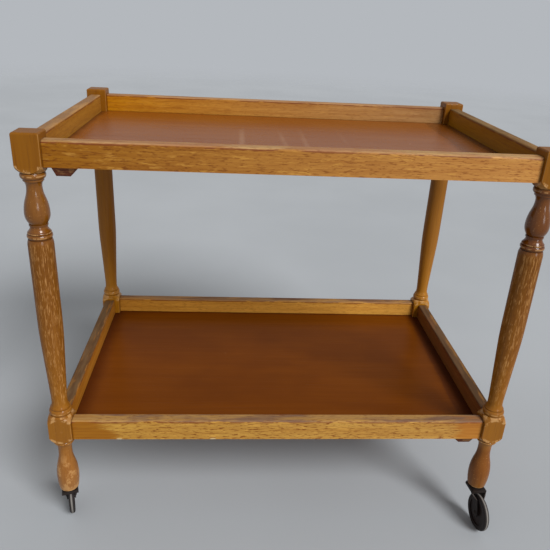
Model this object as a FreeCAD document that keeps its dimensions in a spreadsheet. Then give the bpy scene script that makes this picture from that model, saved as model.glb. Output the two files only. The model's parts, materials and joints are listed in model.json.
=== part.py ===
"""Two-tier tea trolley: four turned legs, two galleried trays and four stem castors.

Sizes are in millimetres.  The origin is on the floor under the middle of the trolley,
+X runs to the right along the long side, +Y to the back and +Z up.
"""
import FreeCAD, Part
import math
import os
from types import SimpleNamespace

import Sketcher

Vector = FreeCAD.Vector
Placement = FreeCAD.Placement
UP = Vector(0, 0, 1)

SIZES = {
    # the whole trolley
    "overall_width": 752,
    "overall_depth": 474,
    "overall_height": 678,
    # square parts of the legs
    "post_width": 36,
    "post_edge_round": 1.2,
    "post_top_round": 3,
    "lathe_clearance": 1.5,
    # tray rails
    "post_rise": 10,
    "lower_tray_height": 184,
    "rail_height": 36,
    "rail_thickness": 20,
    "rail_setback": 6,
    "rail_outer_round": 4,
    "rail_inner_round": 2.5,
    "tenon_length": 14,
    "tenon_thickness": 8,
    "tenon_shoulder": 6,
    "mortise_end_gap": 1,
    # tray bottoms, with a thinner edge that is let into a rebate under the rails and pinned
    "panel_thickness": 5,
    "panel_edge_thickness": 4,
    "panel_gap": 0.5,
    "rebate_width": 8,
    "pin_diameter": 1.6,
    "pin_length": 15,
    "pin_head_diameter": 3.4,
    "pin_head_height": 1,
    "pin_margin": 60,
    "driven_clearance": 0.05,
    # tapered glue blocks in the tray corners and their screws, from the posts' faces
    "block_inset": 10,
    "block_setback": 8,
    "block_length": 35,
    "block_depth": 28,
    "block_drop": 13,
    "block_post_taper": 4,
    "block_far_taper": 12,
    "block_depth_taper": 6,
    "screw_diameter": 3.6,
    "screw_head_diameter": 7.2,
    "screw_bite": 9,
    "screw_pitch": 9,
    # sloping shoulders where the square blocks of a leg meet the turning
    "shoulder_height": 13,
    "shoulder_width": 10.2,
    "shoulder_round": 22,
    # turning under the upper block, from the block down
    "upper_block_drop": 9,
    "collar_height": 7.5,
    "collar_diameter": 32,
    "collar_swell": 1.2,
    "collar_step_height": 4,
    "collar_step_diameter": 28,
    "vase_cove_height": 8.5,
    "vase_cove_diameter": 26.4,
    "vase_neck_diameter": 21,
    "vase_hollow_height": 15,
    "vase_swell_height": 23,
    "vase_diameter": 34.6,
    "vase_foot_height": 15,
    "vase_foot_diameter": 23.4,
    "ring_step_height": 2.5,
    "ring_step_diameter": 26,
    "ring_neck_height": 8.5,
    "ring_neck_diameter": 23.4,
    "small_ring_height": 3.2,
    "small_ring_diameter": 31,
    "small_ring_swell": 0.8,
    "large_ring_height": 6.3,
    "large_ring_diameter": 32.4,
    "large_ring_swell": 1.4,
    "quirk_height": 2,
    "quirk_diameter": 30,
    "body_shoulder_height": 8.5,
    "body_shoulder_diameter": 33,
    "body_diameter": 35.8,
    # turning above the lower block, from the block up
    "lower_block_rise": 10,
    "base_ring_height": 10,
    "base_ring_diameter": 31.2,
    "base_ring_swell": 1.8,
    "base_step_height": 2.5,
    "base_step_diameter": 30.4,
    "base_flare_height": 9.5,
    "base_flare_diameter": 29,
    "waist_diameter": 24.2,
    "waist_height": 15,
    "taper_foot_diameter": 24.9,
    "taper_height": 93,
    "taper_top_diameter": 34,
    "taper_bend_height": 40,
    # turned foot under the lower block, from the block down
    "lower_block_drop": 6.5,
    "foot_ring_height": 4.5,
    "foot_ring_diameter": 32,
    "foot_ring_swell": 0.9,
    "foot_cove_height": 14.5,
    "foot_cove_diameter": 28.4,
    "foot_neck_height": 6,
    "foot_neck_diameter": 22,
    "bulb_diameter": 35.8,
    "bulb_hollow_share": 0.385,
    "bulb_base_height": 27.5,
    "bulb_base_diameter": 31.2,
    "foot_rim_height": 2.5,
    "foot_rim_diameter": 27,
    # castors
    "castor_height": 76,
    "castor_trail": 26,
    "front_left_swivel": 106,
    "front_right_swivel": -84,
    "socket_length": 38,
    "socket_wall": 1,
    "flange_diameter": 24,
    "flange_thickness": 1.2,
    "fit_clearance": 0.05,
    "stem_diameter": 8,
    "stem_end_gap": 2,
    "stem_dome": 2,
    "stem_groove_drop": 8,
    "stem_groove_width": 3,
    "stem_groove_depth": 0.8,
    "stem_collar_diameter": 20,
    "stem_collar_height": 2.4,
    "stem_rivet_diameter": 12,
    "stem_rivet_height": 2,
    "thrust_gap": 0.3,
    "horn_thickness": 1.5,
    "horn_width": 27,
    "horn_fork_width": 15,
    "horn_front": 11,
    "horn_back": 16,
    "horn_bend_round": 3,
    "horn_skirt": 6,
    "horn_waist_height": 26,
    "horn_front_sag": 5,
    "horn_back_sag": 4,
    "horn_boss_diameter": 16,
    "axle_diameter": 5,
    "axle_head_diameter": 9,
    "axle_head_height": 2,
    "wheel_diameter": 65,
    "rim_diameter": 55,
    "rim_width": 8,
    "rim_lip": 4,
    "web_thickness": 5,
    "hub_diameter": 15,
    "hub_width": 11.2,
    "tyre_width": 9,
    "tyre_shoulder": 2.2,
    "tread_width": 5,
}
LONG_RAIL_PINS = 5
SHORT_RAIL_PINS = 3
COUNTERSINK_ANGLE = 90
HALF_TURN = 180
# each corner's side in X and Y, and the turn that brings a leg there
CORNERS = {
    "front_left": ((-1, -1), 0),
    "front_right": ((1, -1), 90),
    "rear_right": ((1, 1), 180),
    "rear_left": ((-1, 1), 270),
}
# the corners of each tray that have a glue block
GLUE_BLOCKS = {
    "upper": ((-1, -1), (-1, 1), (1, 1)),
    "lower": ((1, -1), (-1, 1), (1, 1)),
}
ADDING = ("PartDesign::Pad", "PartDesign::Revolution", "PartDesign::AdditiveLoft")


class Dim:
    """A size as a number, together with the sheet formula that gives it."""

    def __init__(self, value, formula):
        self.value = value
        self.formula = formula

    @staticmethod
    def of(number):
        """Return a plain number as a size, and a size as it is."""
        return number if isinstance(number, Dim) else Dim(number, f"({number})")

    def join(self, sign, other, value):
        """Return the size that a sum or a product of two sizes makes."""
        return Dim(value, f"({self.formula} {sign} {other.formula})")

    def __add__(self, other):
        other = Dim.of(other)
        return self.join("+", other, self.value + other.value)

    def __sub__(self, other):
        other = Dim.of(other)
        return self.join("-", other, self.value - other.value)

    def __mul__(self, other):
        other = Dim.of(other)
        return self.join("*", other, self.value * other.value)

    def __truediv__(self, other):
        other = Dim.of(other)
        return self.join("/", other, self.value / other.value)

    def __radd__(self, other):
        return Dim.of(other) + self

    def __rmul__(self, other):
        return Dim.of(other) * self

    def __rsub__(self, other):
        return Dim.of(other) - self

    def __neg__(self):
        return Dim.of(0) - self


def square(number):
    """Return a size times itself."""
    return number * number


def distance(across, along):
    """Return the straight distance that two sizes at right angles make."""
    total = square(across) + square(along)
    return Dim(math.sqrt(total.value), f"sqrt({total.formula})")


def cosine(angle):
    """Return the cosine of an angle in degrees."""
    return Dim(math.cos(math.radians(angle.value)), f"cos({angle.formula})")


def sine(angle):
    """Return the sine of an angle in degrees."""
    return Dim(math.sin(math.radians(angle.value)), f"sin({angle.formula})")


doc = FreeCAD.newDocument("TeaTrolley")
sheet = doc.addObject("Spreadsheet::Sheet", "Sizes")
for row, (name, number) in enumerate(SIZES.items(), start=1):
    sheet.set(f"A{row}", name)
    sheet.set(f"B{row}", str(number))
    sheet.setAlias(f"B{row}", name)
doc.recompute()
size = SimpleNamespace(**{name: Dim(sheet.get(name), f"Sizes.{name}") for name in SIZES})


# ---------------------------------------------------------------- outlines
class Outline:
    """A closed loop of lines and arcs whose corners and radii are bound to the sheet."""

    def __init__(self, across, along):
        self.corners = [(Dim.of(across), Dim.of(along))]
        self.edges = []

    def line(self, across, along):
        """Go straight to the next corner."""
        self.corners.append((Dim.of(across), Dim.of(along)))
        self.edges.append(None)
        return self

    def arc(self, across, along, radius, towards):
        """Go to the next corner on the shorter arc, which bulges towards a direction."""
        self.corners.append((Dim.of(across), Dim.of(along)))
        self.edges.append((radius, towards))
        return self

    def draw(self, sketch):
        """Add the loop to a sketch and close it with a straight line."""
        count = len(self.corners)
        ends = []
        for index, edge in enumerate(self.edges + [None]):
            start = self.corners[index]
            finish = self.corners[(index + 1) % count]
            here = Vector(start[0].value, start[1].value, 0)
            there = Vector(finish[0].value, finish[1].value, 0)
            if edge is None:
                number = sketch.addGeometry(Part.LineSegment(here, there))
                ends.append((number, 1, 2))
            else:
                ends.append(add_arc(sketch, here, there, *edge))
        for index, (number, first, last) in enumerate(ends):
            following, following_first, _ = ends[(index + 1) % count]
            join = Sketcher.Constraint("Coincident", number, last, following, following_first)
            sketch.addConstraint(join)
            across, along = self.corners[index]
            bind(sketch, across, "DistanceX", -1, 1, number, first)
            bind(sketch, along, "DistanceY", -1, 1, number, first)


def bind(sketch, value, kind, *where):
    """Add a constraint to a sketch and tie it to the sheet."""
    number = sketch.addConstraint(Sketcher.Constraint(kind, *where, float(value.value)))
    sketch.setExpression(f"Constraints[{number}]", value.formula)


def add_arc(sketch, here, there, radius, towards):
    """Add the shorter arc between two points and return its edge and its end numbers."""
    chord = there - here
    half = chord.Length / 2
    middle = (here + there) / 2
    outward = Vector(-chord.y, chord.x, 0).normalize()
    if outward.dot(Vector(*towards, 0)) < 0:
        outward = outward * -1
    centre = middle - outward * math.sqrt(max(radius.value ** 2 - half ** 2, 0))
    anticlockwise = (here - centre).cross(there - centre).z > 0
    first, last = (here, there) if anticlockwise else (there, here)
    angles = [math.atan2(point.y - centre.y, point.x - centre.x) for point in (first, last)]
    circle = Part.Circle(centre, UP, radius.value)
    number = sketch.addGeometry(Part.ArcOfCircle(circle, *angles))
    bind(sketch, radius, "Radius", number)
    return (number, 1, 2) if anticlockwise else (number, 2, 1)


def bead_radius(height, swell):
    """Return the radius of an arc over a straight height that stands proud by a swell."""
    return (square(height) / 4 + square(swell)) / (2 * swell)


def tangent_radius(run, offset):
    """Return the radius of an arc that starts along its run and ends offset from it."""
    return (square(run) + square(offset)) / (2 * offset)


def rectangle(left, right, bottom, top):
    """Return a rectangular outline."""
    return Outline(left, bottom).line(right, bottom).line(right, top).line(left, top)


def add_circle(sketch, across, along, radius):
    """Add a circle to a sketch, bound to the sheet."""
    across, along = Dim.of(across), Dim.of(along)
    centre = Vector(across.value, along.value, 0)
    number = sketch.addGeometry(Part.Circle(centre, UP, radius.value))
    bind(sketch, radius, "Radius", number)
    bind(sketch, across, "DistanceX", -1, 1, number, 3)
    bind(sketch, along, "DistanceY", -1, 1, number, 3)


# ---------------------------------------------------------------- features
def new_body(label):
    """Add an empty body with a label of its own."""
    body = doc.addObject("PartDesign::Body", label)
    body.Label = label
    return body


def new_sketch(body, name, plane, offset=None):
    """Add a sketch on one of a body's own planes, moved along the plane's normal."""
    sketch = body.newObject("Sketcher::SketchObject", f"{body.Label}_{name}")
    support = next(item for item in body.Origin.OriginFeatures if item.Role == plane)
    sketch.AttachmentSupport = [(support, "")]
    sketch.MapMode = "FlatFace"
    if offset is not None:
        sketch.setExpression("AttachmentOffset.Base.z", offset.formula)
    return sketch


def draw(body, name, plane, *outlines, offset=None):
    """Add a sketch that holds some outlines."""
    sketch = new_sketch(body, name, plane, offset)
    for outline in outlines:
        outline.draw(sketch)
    return sketch


def add_feature(body, kind, sketch):
    """Add a feature that works from a sketch."""
    feature = body.newObject(f"PartDesign::{kind}", f"{sketch.Label}_{kind.lower()}")
    feature.Profile = sketch
    return feature


def pad(body, sketch, length, both_ways=False):
    """Pad a sketch along its normal, or half each way."""
    feature = add_feature(body, "Pad", sketch)
    feature.setExpression("Length", length.formula)
    feature.SideType = "Symmetric" if both_ways else "One side"
    return feature


def pocket(body, sketch, length, backwards=False, both_ways=False):
    """Cut a sketch out of a body against its normal, along it, or half each way."""
    feature = add_feature(body, "Pocket", sketch)
    feature.setExpression("Length", length.formula)
    feature.Reversed = backwards
    feature.SideType = "Symmetric" if both_ways else "One side"
    return feature


def turn(body, kind, sketch):
    """Revolve a sketch about its upright axis, to add or to cut."""
    feature = add_feature(body, kind, sketch)
    feature.ReferenceAxis = (sketch, ["V_Axis"])
    feature.Angle = 360
    return feature


def fillet(body, radius, name, choose):
    """Round the edges of the body's last feature that a test picks out."""
    doc.recompute()
    base = body.Tip
    edges = [f"Edge{number}" for number, edge in enumerate(base.Shape.Edges, 1) if choose(edge)]
    feature = body.newObject("PartDesign::Fillet", f"{body.Label}_{name}")
    feature.Base = (base, edges)
    feature.setExpression("Radius", radius.formula)
    return feature


def is_upright(edge):
    """Say whether an edge is straight and runs up."""
    ends = [vertex.Point for vertex in edge.Vertexes]
    if len(ends) != 2 or edge.Curve.TypeId != "Part::GeomLine":
        return False
    return abs((ends[1] - ends[0]).normalize().z) > 0.999


def at_height(edge, height):
    """Say whether a whole edge lies at one height."""
    return all(abs(vertex.Point.z - height) < 1e-4 for vertex in edge.Vertexes)


def group(label, copies):
    """Put copies of pieces, each given with its place, under one name."""
    doc.recompute()
    made = doc.addObject("Part::Feature", label)
    made.Label = label
    made.Shape = Part.makeCompound([piece.Shape.transformed(at.toMatrix()) for piece, at in copies])
    made.Placement = Placement()
    return made


def place_at(across, along, height, angle=0):
    """Return a placement from a point and a turn about the upright."""
    values = [Dim.of(value).value for value in (across, along, height)]
    return Placement(Vector(*values), FreeCAD.Rotation(UP, angle))


def place(body, across, along, height, angle):
    """Tie a body's placement, a point and a turn about the upright, to the sheet."""
    parts = [Dim.of(value).formula for value in (across, along, height, angle)]
    spot = f"vector({parts[0]}; {parts[1]}; {parts[2]})"
    body.setExpression("Placement", f"placement({spot}; rotation(vector(0; 0; 1); {parts[3]}))")


# ---------------------------------------------------------------- shared places
half_width = size.overall_width / 2
half_depth = size.overall_depth / 2
half_post = size.post_width / 2
leg_across = half_width - half_post
leg_along = half_depth - half_post
upper_tray_height = size.overall_height - size.post_rise - size.rail_height
lower_tray_top = size.lower_tray_height + size.rail_height
long_rail_length = size.overall_width - 2 * size.post_width
short_rail_length = size.overall_depth - 2 * size.post_width
# the middle of a rail's thickness, from the outer face of the posts
rail_middle = size.rail_setback + size.rail_thickness / 2
# the line of pins and screws that hold a tray bottom, from the outer face of the posts
fixing_line = size.rail_setback + size.rail_thickness - size.rebate_width / 2
TRAYS = {"upper": upper_tray_height, "lower": size.lower_tray_height}
pin_hole_radius = size.pin_diameter / 2 + size.driven_clearance
screw_hole_radius = size.screw_diameter / 2 + size.driven_clearance
block_foot_length = size.block_length - size.block_post_taper - size.block_far_taper
# the middle of a glue block's foot and of its screws, from the middle of a long rail
block_middle = (
    long_rail_length / 2 - size.block_inset - size.block_post_taper - block_foot_length / 2
)
stem_bore_radius = size.stem_diameter / 2 + size.fit_clearance
socket_radius = stem_bore_radius + size.socket_wall
axle_height = size.wheel_diameter / 2
axle_hole_radius = size.axle_diameter / 2 + size.driven_clearance
horn_top = size.castor_height - size.flange_thickness - size.thrust_gap - size.stem_collar_height


def tenon_outline(across, bottom):
    """Return the end outline of a tenon on a rail that stands at a height."""
    half = size.tenon_thickness / 2
    low = bottom + size.tenon_shoulder
    high = bottom + size.rail_height - size.tenon_shoulder
    return rectangle(across - half, across + half, low, high)


# ---------------------------------------------------------------- legs
half_diagonal = half_post * math.sqrt(2)
OUTWARD = (1, 0)
INWARD = (-1, 0)


class Turning(Outline):
    """What the lathe takes off a square leg, drawn from the top down."""

    def __init__(self, block_foot):
        """Start outside the blank and slope in under the corners of the block above."""
        self.clear = half_diagonal + size.lathe_clearance
        self.across = half_diagonal - size.shoulder_width
        self.height = block_foot
        shoulder_top = block_foot + size.shoulder_height
        super().__init__(self.clear, shoulder_top)
        self.line(half_diagonal, shoulder_top)
        self.arc(self.across, block_foot, size.shoulder_round, (1, -1))

    def go(self, across, drop, radius=None, towards=None):
        """Go to a distance from the axis while dropping, straight or on an arc."""
        self.across = Dim.of(across)
        self.height = self.height - drop
        if radius is None:
            self.line(self.across, self.height)
        else:
            self.arc(self.across, self.height, radius, towards)

    def step(self, diameter):
        """Cut straight in or out to a diameter."""
        self.go(diameter / 2, 0)

    def straight(self, drop, diameter):
        """Run straight to a diameter."""
        self.go(diameter / 2, drop)

    def bead(self, drop, swell):
        """Round a bead that ends at the diameter it starts from."""
        self.go(self.across, drop, bead_radius(drop, swell), OUTWARD)

    def bend(self, drop, diameter, towards):
        """Follow an arc that is upright at its widest end, or at its narrowest if hollow."""
        offset = diameter / 2 - self.across
        if offset.value < 0:
            offset = -offset
        self.go(diameter / 2, drop, tangent_radius(drop, offset), towards)

    def swell(self, drop, diameter):
        """Follow a full curve to a diameter."""
        self.bend(drop, diameter, OUTWARD)

    def hollow(self, drop, diameter):
        """Follow a hollow curve to a diameter."""
        self.bend(drop, diameter, INWARD)


def between(narrow, wide, hollow, full):
    """Return the diameter where a hollow curve turns smoothly into a full one."""
    return narrow + (wide - narrow) * (hollow / (hollow + full))


def turn_vase(turning):
    """Cut the collar, the slender vase and the rings at the head of a leg."""
    turning.step(size.collar_diameter)
    turning.bead(size.collar_height, size.collar_swell)
    turning.step(size.collar_step_diameter)
    turning.straight(size.collar_step_height, size.collar_step_diameter)
    turning.step(size.vase_cove_diameter)
    turning.hollow(size.vase_cove_height, size.vase_neck_diameter)
    curves = (size.vase_hollow_height, size.vase_swell_height)
    turning.hollow(curves[0], between(size.vase_neck_diameter, size.vase_diameter, *curves))
    turning.swell(curves[1], size.vase_diameter)
    turning.swell(size.vase_foot_height, size.vase_foot_diameter)
    turning.step(size.ring_step_diameter)
    turning.straight(size.ring_step_height, size.ring_step_diameter)
    turning.step(size.ring_neck_diameter)
    turning.hollow(size.ring_neck_height, size.small_ring_diameter)
    turning.bead(size.small_ring_height, size.small_ring_swell)
    turning.step(size.large_ring_diameter)
    turning.bead(size.large_ring_height, size.large_ring_swell)
    turning.step(size.quirk_diameter)
    turning.straight(size.quirk_height, size.quirk_diameter)


def turn_body(turning, block_top):
    """Cut the long tapered body and the rings above the lower block."""
    base = size.base_ring_height + size.base_step_height + size.base_flare_height
    bend_top = block_top + base + size.waist_height + size.taper_height + size.taper_bend_height
    turning.step(size.body_shoulder_diameter)
    turning.swell(size.body_shoulder_height, size.body_diameter)
    turning.straight(turning.height - bend_top, size.body_diameter)
    turning.swell(size.taper_bend_height, size.taper_top_diameter)
    turning.straight(size.taper_height, size.taper_foot_diameter)
    turning.hollow(size.waist_height, size.waist_diameter)
    turning.hollow(size.base_flare_height, size.base_flare_diameter)
    turning.step(size.base_step_diameter)
    turning.straight(size.base_step_height, size.base_step_diameter)
    turning.step(size.base_ring_diameter)
    turning.bead(size.base_ring_height, size.base_ring_swell)


def long_turning():
    """Return what is cut away between the two square blocks."""
    turning = Turning(upper_tray_height - size.upper_block_drop)
    turn_vase(turning)
    turn_body(turning, lower_tray_top + size.lower_block_rise)
    turning.go(half_diagonal - size.shoulder_width, 0)
    turning.go(half_diagonal, size.shoulder_height, size.shoulder_round, (1, 1))
    turning.go(turning.clear, 0)
    return turning


def foot_turning():
    """Return what is cut away below the lower block."""
    turning = Turning(size.lower_tray_height - size.lower_block_drop)
    turning.step(size.foot_ring_diameter)
    turning.bead(size.foot_ring_height, size.foot_ring_swell)
    turning.step(size.foot_cove_diameter)
    turning.hollow(size.foot_cove_height, size.foot_neck_diameter)
    turning.straight(size.foot_neck_height, size.foot_neck_diameter)
    bulb_height = turning.height - size.castor_height - size.bulb_base_height
    hollow = bulb_height * size.bulb_hollow_share
    full = bulb_height - hollow
    turning.hollow(hollow, between(size.foot_neck_diameter, size.bulb_diameter, hollow, full))
    turning.swell(full, size.bulb_diameter)
    turning.swell(size.bulb_base_height - size.foot_rim_height, size.bulb_base_diameter)
    turning.swell(size.foot_rim_height, size.foot_rim_diameter)
    turning.straight(size.lathe_clearance, size.foot_rim_diameter)
    turning.go(turning.clear, 0)
    return turning


def mortise_outlines():
    """Return the ends of the upper and lower tenons that one face of a leg takes."""
    return [tenon_outline(rail_middle - half_post, bottom) for bottom in TRAYS.values()]


def leg(label, corner, angle):
    """Build one leg: a square blank, its two turned lengths, mortises and castor hole."""
    body = new_body(label)
    square_end = rectangle(-half_post, half_post, -half_post, half_post)
    blank = draw(body, "blank", "XY_Plane", square_end, offset=size.castor_height)
    pad(body, blank, size.overall_height - size.castor_height)
    fillet(body, size.post_edge_round, "long_edges", is_upright)
    top = size.overall_height.value
    fillet(body, size.post_top_round, "top_edges", lambda edge: at_height(edge, top))
    turn(body, "Groove", draw(body, "turning", "XZ_Plane", long_turning()))
    turn(body, "Groove", draw(body, "foot", "XZ_Plane", foot_turning()))
    depth = size.tenon_length + size.mortise_end_gap
    right = draw(body, "right_mortises", "YZ_Plane", *mortise_outlines(), offset=half_post)
    pocket(body, right, depth)
    rear = draw(body, "rear_mortises", "XZ_Plane", *mortise_outlines(), offset=-half_post)
    pocket(body, rear, depth, backwards=True)
    hole_depth = size.socket_length + size.mortise_end_gap
    hole_radius = socket_radius + size.driven_clearance
    drill(body, "castor_hole", [(0, 0)], hole_radius, hole_depth, size.castor_height)
    place(body, corner[0] * leg_across, corner[1] * leg_along, 0, angle)
    nodes.append(body)


# ---------------------------------------------------------------- rails
def spread(length, margin, count):
    """Return places at even steps along a length, a margin in from each end."""
    first = margin - length / 2
    pitch = (length - 2 * margin) / (count - 1)
    return [first + pitch * number for number in range(count)]


def screw_places(side):
    """Return the places of one glue block's screws along a long rail."""
    return [side * block_middle + size.screw_pitch * half for half in (-0.5, 0.5)]


def drill(body, name, places, radius, depth, start=None):
    """Drill holes up into a piece from a height on it, or from its origin."""
    sketch = new_sketch(body, name, "XY_Plane", start)
    for across, along in places:
        add_circle(sketch, across, along, radius)
    pocket(body, sketch, depth, backwards=True)


def rail(label, length, pin_count, block_ends):
    """Build one rail: a rounded section with a rebate, its tenons and its drilled holes."""
    body = new_body(label)
    half = size.rail_thickness / 2
    top = size.rail_height
    section = Outline(-half, 0)
    section.line(half - size.rebate_width, 0)
    section.line(half - size.rebate_width, size.panel_edge_thickness)
    section.line(half, size.panel_edge_thickness)
    section.line(half, top - size.rail_inner_round)
    section.arc(half - size.rail_inner_round, top, size.rail_inner_round, (1, 1))
    section.line(size.rail_outer_round - half, top)
    section.arc(-half, top - size.rail_outer_round, size.rail_outer_round, (-1, 1))
    pad(body, draw(body, "section", "YZ_Plane", section), length, both_ways=True)
    tenon = draw(body, "tenon", "YZ_Plane", tenon_outline(0, Dim.of(0)))
    pad(body, tenon, length + 2 * size.tenon_length, both_ways=True)
    line = half - size.rebate_width / 2
    pins = [(across, line) for across in spread(length, size.pin_margin, pin_count)]
    depth = size.pin_length - size.panel_edge_thickness + size.panel_gap
    drill(body, "pin_holes", pins, pin_hole_radius, depth, size.panel_edge_thickness)
    screws = [(across, line) for side in block_ends for across in screw_places(side)]
    if screws:
        depth = size.screw_bite + size.panel_gap
        drill(body, "screw_holes", screws, screw_hole_radius, depth, size.panel_edge_thickness)
    return body


def tray_rails(tray, height, block_corners):
    """Build the four rails of a tray."""
    across = half_width - rail_middle
    along = half_depth - rail_middle
    for side, name, angle in ((-1, "front", 0), (1, "rear", 180)):
        ends = [-side * right for right, back in block_corners if back == side]
        body = rail(f"{tray}_{name}_rail", long_rail_length, LONG_RAIL_PINS, ends)
        place(body, 0, side * along, height, angle)
        nodes.append(body)
    for side, name, angle in ((-1, "left", -90), (1, "right", 90)):
        body = rail(f"{tray}_{name}_rail", short_rail_length, SHORT_RAIL_PINS, [])
        place(body, side * across, 0, height, angle)
        nodes.append(body)


# ---------------------------------------------------------------- tray bottoms
def tray_bottom_pins():
    """Return where the pins of a tray bottom go, seen from above."""
    across = half_width - fixing_line
    along = half_depth - fixing_line
    long_steps = spread(long_rail_length, size.pin_margin, LONG_RAIL_PINS)
    short_steps = spread(short_rail_length, size.pin_margin, SHORT_RAIL_PINS)
    rows = [(step, side * along) for side in (-1, 1) for step in long_steps]
    columns = [(side * across, step) for side in (-1, 1) for step in short_steps]
    return rows + columns


def tray_bottom_screws(block_corners):
    """Return where the screws of a tray's glue blocks go, seen from above."""
    along = half_depth - fixing_line
    return [
        (across, back * along)
        for right, back in block_corners
        for across in screw_places(right)
    ]


def notched_sheet(edge):
    """Return a sheet's outline, an edge in from the posts' faces and notched round the posts."""
    wide = half_width - edge
    deep = half_depth - edge
    notch_across = half_width - size.post_width - size.panel_gap
    notch_along = half_depth - size.post_width - size.panel_gap
    outline = Outline(-notch_across, -deep)
    outline.line(notch_across, -deep).line(notch_across, -notch_along).line(wide, -notch_along)
    outline.line(wide, notch_along).line(notch_across, notch_along).line(notch_across, deep)
    outline.line(-notch_across, deep).line(-notch_across, notch_along).line(-wide, notch_along)
    outline.line(-wide, -notch_along).line(-notch_across, -notch_along)
    return outline


def tray_bottom(tray, height, block_corners):
    """Build a tray bottom whose edge fills the rebates and whose field fills the rails."""
    body = new_body(f"{tray}_tray_bottom")
    field = size.rail_setback + size.rail_thickness + size.panel_gap
    edge = draw(body, "edge", "XY_Plane", notched_sheet(field - size.rebate_width))
    pad(body, edge, size.panel_edge_thickness)
    pad(body, draw(body, "field", "XY_Plane", notched_sheet(field)), size.panel_thickness)
    pins = tray_bottom_pins()
    drill(body, "pin_holes", pins, pin_hole_radius, size.panel_thickness)
    head_radius = size.pin_head_diameter / 2 + size.driven_clearance
    drill(body, "pin_heads", pins, head_radius, size.pin_head_height)
    screws = tray_bottom_screws(block_corners)
    drill(body, "screw_holes", screws, screw_hole_radius, size.panel_thickness)
    place(body, 0, 0, height, 0)
    nodes.append(body)


# ---------------------------------------------------------------- glue blocks and fixings
def tray_pin():
    """Build one flat-headed panel pin, point up."""
    body = new_body("tray_pin")
    head = size.pin_head_diameter / 2
    shank = size.pin_diameter / 2
    outline = Outline(0, 0)
    outline.line(head, 0)
    outline.line(head, size.pin_head_height)
    outline.line(shank, size.pin_head_height)
    outline.line(shank, size.pin_length - size.pin_diameter)
    outline.line(0, size.pin_length)
    turn(body, "Revolution", draw(body, "outline", "XZ_Plane", outline))
    return body


def block_screw():
    """Build one countersunk screw, point up, as long as block, bottom and bite."""
    body = new_body("block_screw")
    head = size.screw_head_diameter / 2
    shank = size.screw_diameter / 2
    length = size.block_drop + size.panel_edge_thickness + size.screw_bite
    outline = Outline(0, 0)
    outline.line(head, 0)
    outline.line(shank, head - shank)
    outline.line(shank, length - size.screw_diameter)
    outline.line(0, length)
    turn(body, "Revolution", draw(body, "outline", "XZ_Plane", outline))
    return body


def glue_block(hand):
    """Build one block, wide face up, that tapers least at its post end, 1 right or -1 left."""
    body = new_body("right_glue_block" if hand > 0 else "left_glue_block")
    half_foot = block_foot_length / 2
    half_top_depth = size.block_depth / 2
    half_foot_depth = half_top_depth - size.block_depth_taper
    tapers = [size.block_far_taper, size.block_post_taper][::hand]
    low = rectangle(-half_foot, half_foot, -half_foot_depth, half_foot_depth)
    left, right = -half_foot - tapers[0], half_foot + tapers[1]
    high = rectangle(left, right, -half_top_depth, half_top_depth)
    loft = add_feature(body, "AdditiveLoft", draw(body, "foot", "XY_Plane", low))
    loft.Sections = [draw(body, "face", "XY_Plane", high, offset=size.block_drop)]
    doc.recompute()
    screws = new_sketch(body, "screws", "XY_Plane")
    screw_line = fixing_line - size.block_setback - half_top_depth
    for half in (-0.5, 0.5):
        add_circle(screws, half * size.screw_pitch, screw_line, screw_hole_radius)
    holes = add_feature(body, "Hole", screws)
    doc.recompute()
    holes.Reversed = True
    holes.Threaded = False
    holes.DepthType = "ThroughAll"
    holes.HoleCutType = "Countersink"
    holes.HoleCutCustomValues = True
    holes.HoleCutCountersinkAngle = COUNTERSINK_ANGLE
    holes.setExpression("Diameter", (2 * screw_hole_radius).formula)
    head = size.screw_head_diameter + 2 * size.driven_clearance
    holes.setExpression("HoleCutDiameter", head.formula)
    return body


def tray_fixings(tray, height, block_corners, blocks, screw, pin):
    """Put the glue blocks, their screws and the pins under a tray."""
    under = height - size.block_drop
    along = half_depth - size.block_setback - size.block_depth / 2
    fitted = [
        (
            blocks[-right * back],
            place_at(right * block_middle, back * along, under, 0 if back < 0 else HALF_TURN),
        )
        for right, back in block_corners
    ]
    screws = [(screw, place_at(*spot, under)) for spot in tray_bottom_screws(block_corners)]
    pins = [(pin, place_at(*spot, height)) for spot in tray_bottom_pins()]
    nodes.append(group(f"{tray}_glue_blocks", fitted))
    nodes.append(group(f"{tray}_block_screws", screws))
    nodes.append(group(f"{tray}_tray_pins", pins))


# ---------------------------------------------------------------- castors
def castor_socket(name):
    """Build the flanged steel tube that is driven up into a foot."""
    body = new_body(f"{name}_castor_socket")
    flange_foot = size.castor_height - size.flange_thickness
    outline = Outline(stem_bore_radius, flange_foot)
    outline.line(size.flange_diameter / 2, flange_foot)
    outline.line(size.flange_diameter / 2, size.castor_height)
    outline.line(socket_radius, size.castor_height)
    outline.line(socket_radius, size.castor_height + size.socket_length)
    outline.line(stem_bore_radius, size.castor_height + size.socket_length)
    turn(body, "Revolution", draw(body, "outline", "XZ_Plane", outline))
    return body


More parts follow.
